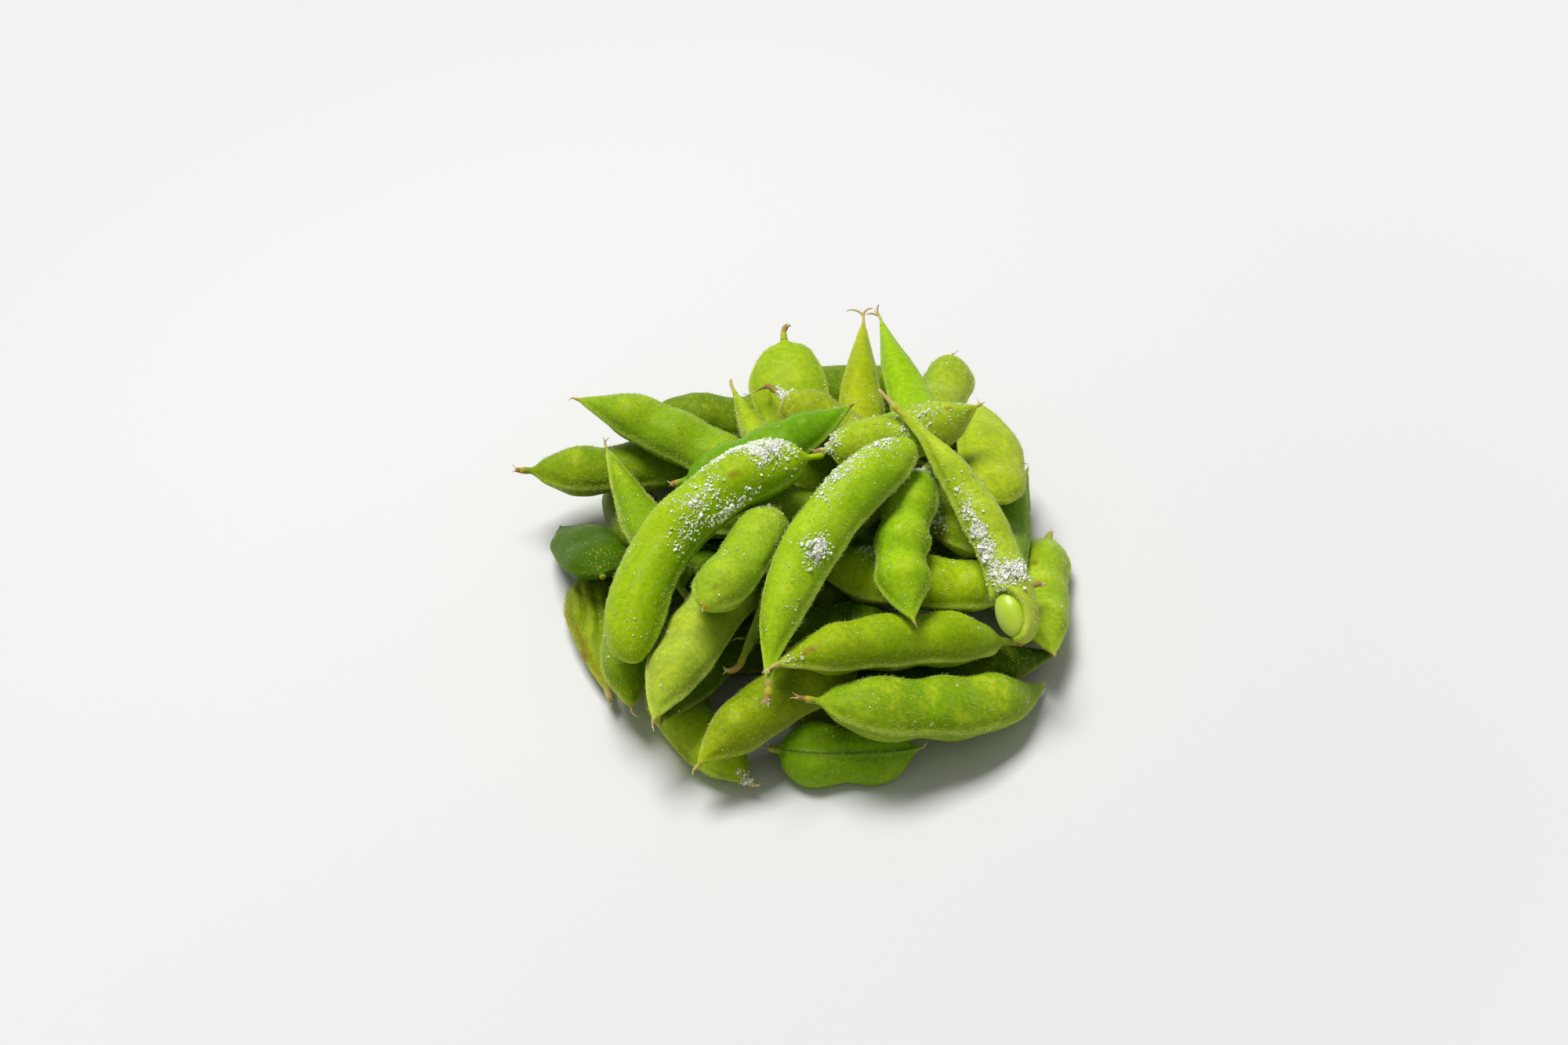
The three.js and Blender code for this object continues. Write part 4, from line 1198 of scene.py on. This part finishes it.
def skin_group():
    """The colour, roughness and relief of pod skin, from the values stored on its points. Over
    the clouded green go, one after the other, all its marks."""
    tree, given, result = new_group(
        "Pod skin",
        [
            ("Green", "NodeSocketColor", (0.5, 0.8, 0.5, 1)),
            ("Pale", "NodeSocketColor", (*linear("#cfdd2e"), 1)),
            ("Seam", "NodeSocketColor", (*linear("#ccd662"), 1)),
            ("Dried", "NodeSocketColor", (*linear("#8a5420"), 1)),
            ("Depth of clouds", "NodeSocketFloat", 0.5),
        ],
        [
            ("Colour", "NodeSocketColor"),
            ("Roughness", "NodeSocketFloat"),
            ("Height", "NodeSocketFloat"),
        ],
    )
    where = layer(tree, "grown", "Vector")
    clouds = noise(tree, where, 190.0, 4.0, 0.6)
    fine = noise(tree, where, 900.0, 3.0, 0.6)
    gloss = layer(tree, "gloss")
    dry = layer(tree, "dry")
    colour, deeper = clouded_green(tree, given, where, clouds, fine)

    specks = put(tree, "ShaderNodeGroup", {"Where": where}, node_tree=speckle_group())
    dots = times(tree, specks.outputs["Dots"], stretch(tree, gloss, 0.0, 1.0, 0.75, 0.08))
    patchy = stretch(tree, noise(tree, where, 240.0, 3.0), 0.42, 0.62)
    rust = times(tree, layer(tree, "rust"), patchy)
    along_seam = stretch(tree, noise(tree, where, 420.0, 2.0), 0.25, 0.6, 0.45, 1.0)
    seam = times(tree, layer(tree, "seam"), along_seam)
    # painted shade: the deeper green made deeper still, for folds and the bend's inner side
    painted_shade_green = mix(tree, 1.0, deeper, given["Green"], "MULTIPLY")
    torn = stretch(tree, fine, 0.3, 0.6, 0.35, 0.85)
    ragged = sums(tree, "ADD", dry, stretch(tree, clouds, 0.3, 0.7, -0.12, 0.12))
    dried = mix(tree, layer(tree, "straw"), given["Dried"], linear("#cdb765"))
    marks = [
        (dots, linear("#d2de5c")),
        (times(tree, specks.outputs["Pinpricks"], 0.7), given["Dried"]),
        (times(tree, rust, 0.7), given["Dried"]),
        (times(tree, seam, 0.85), given["Seam"]),
        # painted shade in the folds and on the inner side of the bend
        (times(tree, layer(tree, "crease"), 0.6), painted_shade_green),
        (times(tree, layer(tree, "line"), 0.85), linear("#2b5a06")),
        (times(tree, layer(tree, "blemish"), torn), given["Dried"]),
        (stretch(tree, dry, 0.12, 0.55, 0.0, 0.75), linear("#c2b53a")),
        (stretch(tree, ragged, 0.62, 0.92), dried),
        # painted shade in the hollow of the split
        (times(tree, layer(tree, "split"), 0.85), linear("#4f7d0a")),
    ]
    for mask, over in marks:
        colour = mix(tree, mask, colour, over)

    rough = stretch(tree, gloss, 0.0, 1.0, 0.56, 0.3)
    rough = sums(tree, "ADD", rough, stretch(tree, fine, 0.3, 0.7, -0.07, 0.07))
    height = times(tree, dots, 1.6)
    for part in (times(tree, fine, 0.9), times(tree, clouds, 1.3), times(tree, dry, fine)):
        height = sums(tree, "ADD", height, part)
    feed(tree, result, {"Colour": colour, "Roughness": rough, "Height": height})
    return tree


def plain_shader(name, sockets):
    """A material with one Principled shader, its even values set on the shader itself."""
    material = bpy.data.materials.new(name)
    material.use_nodes = True
    tree = material.node_tree
    shader = tree.nodes["Principled BSDF"]
    feed(tree, shader, sockets)
    return material, tree, shader


SKIN_FINISH = {
    "IOR": 1.42,
    "Specular IOR Level": 0.22,
    "Specular Tint": (0.9, 1.0, 0.15, 1),
    "Sheen Weight": 0.06,
    "Sheen Roughness": 0.45,
    "Sheen Tint": (0.85, 1.0, 0.15, 1),
    "Subsurface Weight": 0.1,
    "Subsurface Radius": (0.0024, 0.0022, 0.0006),
    "Subsurface Scale": 1.0,
    "Coat Weight": 0.02,
    "Coat Roughness": 0.22,
}


# Dark skins are the smooth ones, and what they mirror would turn them grey
DEEP_FINISH = SKIN_FINISH | {
    "Specular IOR Level": 0.14, "Sheen Weight": 0.02, "Coat Weight": 0.01,
}


def skin_material(name, group, green, clouds, finish=SKIN_FINISH):
    """Pod skin: the tint times the green is its deeper green, and clouds says how much of it."""
    material, tree, shader = plain_shader(name, finish)
    inputs = {"Green": (*green, 1), "Depth of clouds": clouds}
    skin = put(tree, "ShaderNodeGroup", inputs, node_tree=group)
    colour, roughness = skin.outputs["Colour"], skin.outputs["Roughness"]
    feed(tree, shader, {"Base Color": colour, "Roughness": roughness})
    bump(tree, shader, skin.outputs["Height"], 0.55, 0.00012)
    return material


def tip_material():
    """Dried plant fibre: from the pod's green through brown to a pale torn end."""
    material, tree, shader = plain_shader(
        "Dried ends", {"Specular IOR Level": 0.25, "Sheen Weight": 0.2, "Sheen Roughness": 0.5}
    )
    where = object_places(tree)
    along = layer(tree, "along")
    pale = layer(tree, "paleness")
    tint = layer(tree, "tint", "Color")
    fibre = noise(tree, where, 1500.0, 3.0, 0.6)
    brown = mix(tree, fibre, linear("#6b3d10"), linear("#a97630"))
    straw = mix(tree, fibre, linear("#bfa446"), linear("#dcd08a"))
    dried = mix(tree, pale, brown, straw)
    colour = mix(tree, stretch(tree, along, 0.2, 0.65), tint, dried)
    colour = mix(tree, stretch(tree, along, 0.86, 1.0), colour, linear("#d9c796"))
    roughness = stretch(tree, fibre, 0.3, 0.7, 0.5, 0.75)
    feed(tree, shader, {"Base Color": colour, "Roughness": roughness})
    bump(tree, shader, fibre, 0.6, 0.00015)
    return material


def hair_material():
    """Down: pale straw, a little lighter on some hairs."""
    material, tree, shader = plain_shader(
        "Down", {"Specular IOR Level": 0.3, "Sheen Weight": 0.3, "Subsurface Weight": 0.0}
    )
    tone = layer(tree, "tone")
    colour = mix(tree, tone, linear("#b2c244"), linear("#dde49a"))
    roughness = stretch(tree, tone, 0.0, 1.0, 0.45, 0.65)
    feed(tree, shader, {"Base Color": colour, "Roughness": roughness})
    return material


SALT_FINISH = {
    "IOR": 1.54,
    "Specular IOR Level": 0.7,
    "Sheen Weight": 1.0,
    "Sheen Roughness": 0.75,
}


def salt_material():
    """Coarse salt: white grains, some painted green for the pod's light shining through them."""
    material, tree, shader = plain_shader("Salt", SALT_FINISH)
    where = object_places(tree)
    tone = layer(tree, "tone")
    cloudy = mix(tree, noise(tree, where, 2600.0, 2.0), linear("#fafaf6"), linear("#ffffff"))
    # painted light: part of the grains green-yellow, for light from the pod beneath
    colour = mix(tree, stretch(tree, tone, 0.1, 0.6), linear("#e4eeb8"), cloudy)
    roughness = stretch(tree, tone, 0.0, 1.0, 0.15, 0.5)
    feed(tree, shader, {"Base Color": colour, "Roughness": roughness})
    return material


BEAN_FINISH = {
    "Subsurface Weight": 0.2,
    "Subsurface Radius": (0.002, 0.0025, 0.0006),
    "Subsurface Scale": 1.0,
    "Coat Weight": 0.15,
    "Coat Roughness": 0.3,
}


def bean_material():
    """The smooth coat of a bean: bright green, in part yellower, with a painted pale highlight
    below.
    """
    material, tree, shader = plain_shader("Bean", BEAN_FINISH)
    where = object_places(tree)
    wide = noise(tree, where, 260.0, 2.0)
    side = layer(tree, "side")
    colour = mix(tree, stretch(tree, wide, 0.35, 0.65), linear("#b4d414"), linear("#cbdf3a"))
    # painted highlight: pale on the bean's lower side
    colour = mix(tree, times(tree, side, 0.7), colour, linear("#cdd88c"))
    roughness = stretch(tree, noise(tree, where, 1500.0, 2.0), 0.3, 0.7, 0.28, 0.42)
    feed(tree, shader, {"Base Color": colour, "Roughness": roughness})
    bump(tree, shader, wide, 0.25, 0.0001)
    return material


# ---------------------------------------------------------------------------------------------
# Settings
# ---------------------------------------------------------------------------------------------


def length_setting(name, description, metres, precision=5):
    """A setting that is a length in metres."""
    return bpy.props.FloatProperty(
        name=name, description=description, default=metres, unit="LENGTH", precision=precision
    )


def colour_setting(name, description, grey):
    """A setting that is a colour, grey by default."""
    return bpy.props.FloatVectorProperty(
        name=name, description=description, default=(grey, grey, grey), subtype="COLOR",
        min=0, max=1,
    )


class EdamameSkinSettings(bpy.types.PropertyGroup):
    swelling: length_setting("Swelling", "How much fuller than its solid a pod is", 0.00034)
    seam_height: length_setting("Seam height", "How far a seam stands proud", 0.00042)
    seam_width: length_setting("Seam width", "Half the width of a seam's ridge", 0.00048)
    unevenness: length_setting("Unevenness", "Height of the soft waves in the skin", 0.00018)
    stalk_slimming: bpy.props.FloatProperty(
        name="Stalk slimming", description="How much thinner than its solid a stalk is",
        default=0.3, subtype="FACTOR",
    )


class EdamameDownSettings(bpy.types.PropertyGroup):
    per_pod: bpy.props.IntProperty(
        name="Hairs per pod", description="Hairs on a middling pod", default=1000
    )
    length: length_setting("Length", "Length of a middling hair", 0.0008)
    width: length_setting("Width", "Thickness of a hair at its root", 0.00008, precision=6)


class EdamameSaltSettings(bpy.types.PropertyGroup):
    grain: length_setting("Grain", "Size of a middling grain of salt", 0.00026)
    heaped: bpy.props.FloatProperty(
        name="Heaping", description="Grains in a patch, against the listed number", default=2.2
    )
    loose: bpy.props.IntProperty(
        name="Loose grains", description="Loose grains on a pod that lies open", default=42
    )


class EdamameStageSettings(bpy.types.PropertyGroup):
    floor_colour: colour_setting("Floor", "Colour of the floor round the heap", 0.77)
    backdrop: colour_setting("Backdrop", "Colour behind the heap and of the far floor", 0.888)
    lens: bpy.props.FloatProperty(
        name="Lens", description="Focal length of the camera in mm", default=60.0
    )
    elevation: bpy.props.FloatProperty(
        name="Elevation", description="How high the camera looks from",
        default=math.radians(45), subtype="ANGLE",
    )
    distance: length_setting("Distance", "From the camera to the heap", 0.606)
    sky: bpy.props.FloatProperty(
        name="Sky", description="Strength of the even light from all round", default=0.22
    )
    key: bpy.props.FloatProperty(
        name="Window", description="Power of the large soft lamp in watts", default=51.5
    )


# ---------------------------------------------------------------------------------------------
# Operators
# ---------------------------------------------------------------------------------------------


class EDAMAME_OT_pods(bpy.types.Operator):
    """Makes the skin of every pod"""

    bl_idname = "edamame.pods"
    bl_label = "Pods"

    def execute(self, context):
        group = skin_group()
        skins = {
            "pod_lime": skin_material("Lime skin", group, (0.66, 0.82, 0.3), 0.6),
            "pod_fresh": skin_material("Fresh skin", group, (0.66, 0.8, 0.35), 0.6),
            "pod_deep": skin_material(
                "Deep green skin", group, (0.76, 0.84, 0.4), 0.6, DEEP_FINISH
            ),
            "pod_yellow": skin_material("Yellowing skin", group, (0.7, 0.85, 0.3), 0.5),
        }
        for node in NODES:
            pod = grown_pod(node)
            faces = closed_faces(*pod.points.shape[:2])
            points = ends_joined(pod.points)
            piece = make_mesh(node + "_skin", points, *faces, skin_layers(pod))
            slot = pod.look["slot"]
            place(piece, slot, skins[slot], node)
        return {"FINISHED"}


class EDAMAME_OT_bean(bpy.types.Operator):
    """Makes the bean that shows in the open pod"""

    bl_idname = "edamame.bean"
    bl_label = "Bean"

    def execute(self, context):
        points, side = bean_surface(grown_pod(OPEN_POD))
        faces = closed_faces(BEAN_ROWS, BEAN_COLUMNS)
        # how far each point is to the bean's lower side, where a highlight is painted
        layers = {"side": ends_joined(side)}
        piece = make_mesh("shown_bean", ends_joined(points), *faces, layers)
        place(piece, "bean", bean_material())
        return {"FINISHED"}


class EDAMAME_OT_ends(bpy.types.Operator):
    """Makes the dried beaks and stalks, with their torn strands"""

    bl_idname = "edamame.ends"
    bl_label = "Dried ends"

    def execute(self, context):
        tips = list(TIPS)
        settled = BLUNT | {tip[:2] for tip in TIPS}
        for node in NODES:
            rng = dice(node + " ends")
            for end in ("beak", "stalk"):
                if (node, end) not in settled:
                    tips.append(chance_tip(node, end, rng))
        parts = [part for tip in tips for part in dried_end(tip)]
        piece = make_mesh("dried_ends", *join_parts(parts))
        place(piece, "dried_tip", tip_material())
        return {"FINISHED"}


class EDAMAME_OT_down(bpy.types.Operator):
    """Makes the short hairs on the pods"""

    bl_idname = "edamame.down"
    bl_label = "Down"

    def execute(self, context):
        settings = context.scene.edamame_down
        material = hair_material()
        for number in range(DOWN_PIECES):
            parts = [down_on(node, settings) for node in NODES[number::DOWN_PIECES]]
            piece = make_mesh(f"pod_down_{number + 1}", *join_parts(parts))
            place(piece, "pod_lime", material)
        return {"FINISHED"}


class EDAMAME_OT_salt(bpy.types.Operator):
    """Strews the salt"""

    bl_idname = "edamame.salt"
    bl_label = "Salt"

    def execute(self, context):
        settings = context.scene.edamame_salt
        material = salt_material()
        pieces = {
            "salt_patches": [salt_patch(*row, settings) for row in enumerate(PATCHES)],
            "salt_sprinkle": [loose_salt(node, settings) for node in NODES],
        }
        for name, parts in pieces.items():
            place(make_mesh(name, *join_parts(parts), smooth=False), "salt", material)
        return {"FINISHED"}


FLOOR_HALF = 3.0
FLOOR_FADE = (0.1, 0.28)  # where the lit floor turns into the even backdrop, from the heap
FLOOR_CLOUDS = 0.985  # brightness of the floor's faint clouds, against the rest of it
WINDOW_SIZE = (1.1, 0.9)
WINDOW_PLACE = Vector((-0.5, 0.65, 2.05))
WINDOW_AIM = Vector((0, 0, 0.02))
WINDOW_TINT = (1, 0.99, 0.975)
SENSOR_WIDTH_MM = 36.0
CAMERA_AIM = Vector((-0.0018, 0, 0.022))  # from the middle of the heap's footprint


def blend_shaders(tree, factor, first, second, output):
    """Sends a blend of two shaders to an output node."""
    sockets = {0: factor, 1: first.outputs[0], 2: second.outputs[0]}
    both = put(tree, "ShaderNodeMixShader", sockets)
    feed(tree, tree.nodes[output], {"Surface": both.outputs[0]})


def floor_material(settings):
    """A matt pale floor, which the camera sees turn into the even backdrop far from the heap."""
    material, tree, shader = plain_shader("Floor", {"Specular IOR Level": 0.2, "Roughness": 0.7})
    where = object_places(tree)
    dim = tuple(FLOOR_CLOUDS * c for c in settings.floor_colour)
    colour = mix(tree, noise(tree, where, 9.0, 2.0), dim, settings.floor_colour)
    feed(tree, shader, {"Base Color": colour})
    away = put(tree, "ShaderNodeVectorMath", {0: where}, operation="LENGTH").outputs["Value"]
    far = put(
        tree, "ShaderNodeMapRange", {0: away, 1: FLOOR_FADE[0], 2: FLOOR_FADE[1]},
        interpolation_type="SMOOTHSTEP",
    ).outputs[0]
    seen = put(tree, "ShaderNodeLightPath").outputs["Is Camera Ray"]
    even = put(tree, "ShaderNodeEmission", {"Color": (*settings.backdrop, 1), "Strength": 1.0})
    blend_shaders(tree, times(tree, far, seen), shader, even, "Material Output")
    return material


def lay_floor(settings):
    """One large square under the heap."""
    corners = FLOOR_HALF * np.array([[-1, -1, 0], [1, -1, 0], [1, 1, 0], [-1, 1, 0]])
    floor = make_mesh("floor", corners, np.array([[0, 1, 2, 3]]), np.zeros((0, 3), int))
    floor.data.materials.append(floor_material(settings))


def make_world(settings):
    """Even white light from all round. The camera and mirrored rays see the backdrop."""
    world = bpy.data.worlds.new("Studio")
    world.use_nodes = True
    tree = world.node_tree
    sky = tree.nodes["Background"]
    feed(tree, sky, {"Color": (1, 1, 1, 1), "Strength": settings.sky})
    shown = {"Color": (*settings.backdrop, 1), "Strength": 1.0}
    shown = put(tree, "ShaderNodeBackground", shown)
    rays = put(tree, "ShaderNodeLightPath").outputs
    seen = sums(tree, "MAXIMUM", rays["Is Camera Ray"], rays["Is Glossy Ray"])
    seen = sums(tree, "MAXIMUM", seen, rays["Is Transmission Ray"])
    blend_shaders(tree, seen, sky, shown, "World Output")
    return world


def hang_window(settings):
    """The lamp: one large soft rectangle, like a window, above and behind the heap."""
    lamp = bpy.data.lights.new("Window", "AREA")
    lamp.shape = "RECTANGLE"
    lamp.size, lamp.size_y = WINDOW_SIZE
    lamp.energy = settings.key
    lamp.color = WINDOW_TINT
    window = bpy.data.objects.new("Window", lamp)
    window.location = WINDOW_PLACE
    window.rotation_euler = (WINDOW_AIM - WINDOW_PLACE).to_track_quat("-Z", "Y").to_euler()
    return window


def set_camera(settings):
    """The camera, which looks down at the heap from the front."""
    lens = bpy.data.cameras.new("Camera")
    lens.lens = settings.lens
    lens.sensor_width = SENSOR_WIDTH_MM
    camera = bpy.data.objects.new("Camera", lens)
    low, high = CAD_BOX
    middle = Vector(((low.x + high.x) / 2, (low.y + high.y) / 2, 0))
    back = Vector((0, -math.cos(settings.elevation), math.sin(settings.elevation)))
    camera.location = middle + CAMERA_AIM + settings.distance * back
    camera.rotation_euler = (-back).to_track_quat("-Z", "Y").to_euler()
    return camera


class EDAMAME_OT_stage(bpy.types.Operator):
    """Makes the floor, the light and the camera"""

    bl_idname = "edamame.stage"
    bl_label = "Stage"

    def execute(self, context):
        settings = context.scene.edamame_stage
        scene = context.scene
        lay_floor(settings)
        scene.world = make_world(settings)
        scene.collection.objects.link(hang_window(settings))
        camera = set_camera(settings)
        scene.collection.objects.link(camera)
        scene.camera = camera
        scene.view_settings.view_transform = "Standard"
        return {"FINISHED"}


OPERATORS = (
    EDAMAME_OT_stage, EDAMAME_OT_pods, EDAMAME_OT_bean, EDAMAME_OT_ends, EDAMAME_OT_down,
    EDAMAME_OT_salt,
)
SETTINGS = {
    "edamame_skin": EdamameSkinSettings,
    "edamame_down": EdamameDownSettings,
    "edamame_salt": EdamameSaltSettings,
    "edamame_stage": EdamameStageSettings,
}


class EDAMAME_PT_panel(bpy.types.Panel):
    """Lists the settings and the pieces"""

    bl_idname = "EDAMAME_PT_panel"
    bl_label = "Edamame heap"
    bl_space_type = "VIEW_3D"
    bl_region_type = "UI"
    bl_category = "Edamame"

    def draw(self, context):
        for name, group in SETTINGS.items():
            for field in group.__annotations__:
                self.layout.prop(getattr(context.scene, name), field)
        for operator in OPERATORS:
            self.layout.operator(operator.bl_idname)


def register():
    for name, group in SETTINGS.items():
        bpy.utils.register_class(group)
        setattr(bpy.types.Scene, name, bpy.props.PointerProperty(type=group))
    for operator in OPERATORS:
        bpy.utils.register_class(operator)
    bpy.utils.register_class(EDAMAME_PT_panel)


def unregister():
    bpy.utils.unregister_class(EDAMAME_PT_panel)
    for operator in reversed(OPERATORS):
        bpy.utils.unregister_class(operator)
    for name, group in SETTINGS.items():
        delattr(bpy.types.Scene, name)
        bpy.utils.unregister_class(group)


def main():
    register()
    bpy.ops.edamame.stage()
    bpy.ops.edamame.pods()
    bpy.ops.edamame.bean()
    bpy.ops.edamame.ends()
    bpy.ops.edamame.down()
    bpy.ops.edamame.salt()


if __name__ == "__main__":
    main()
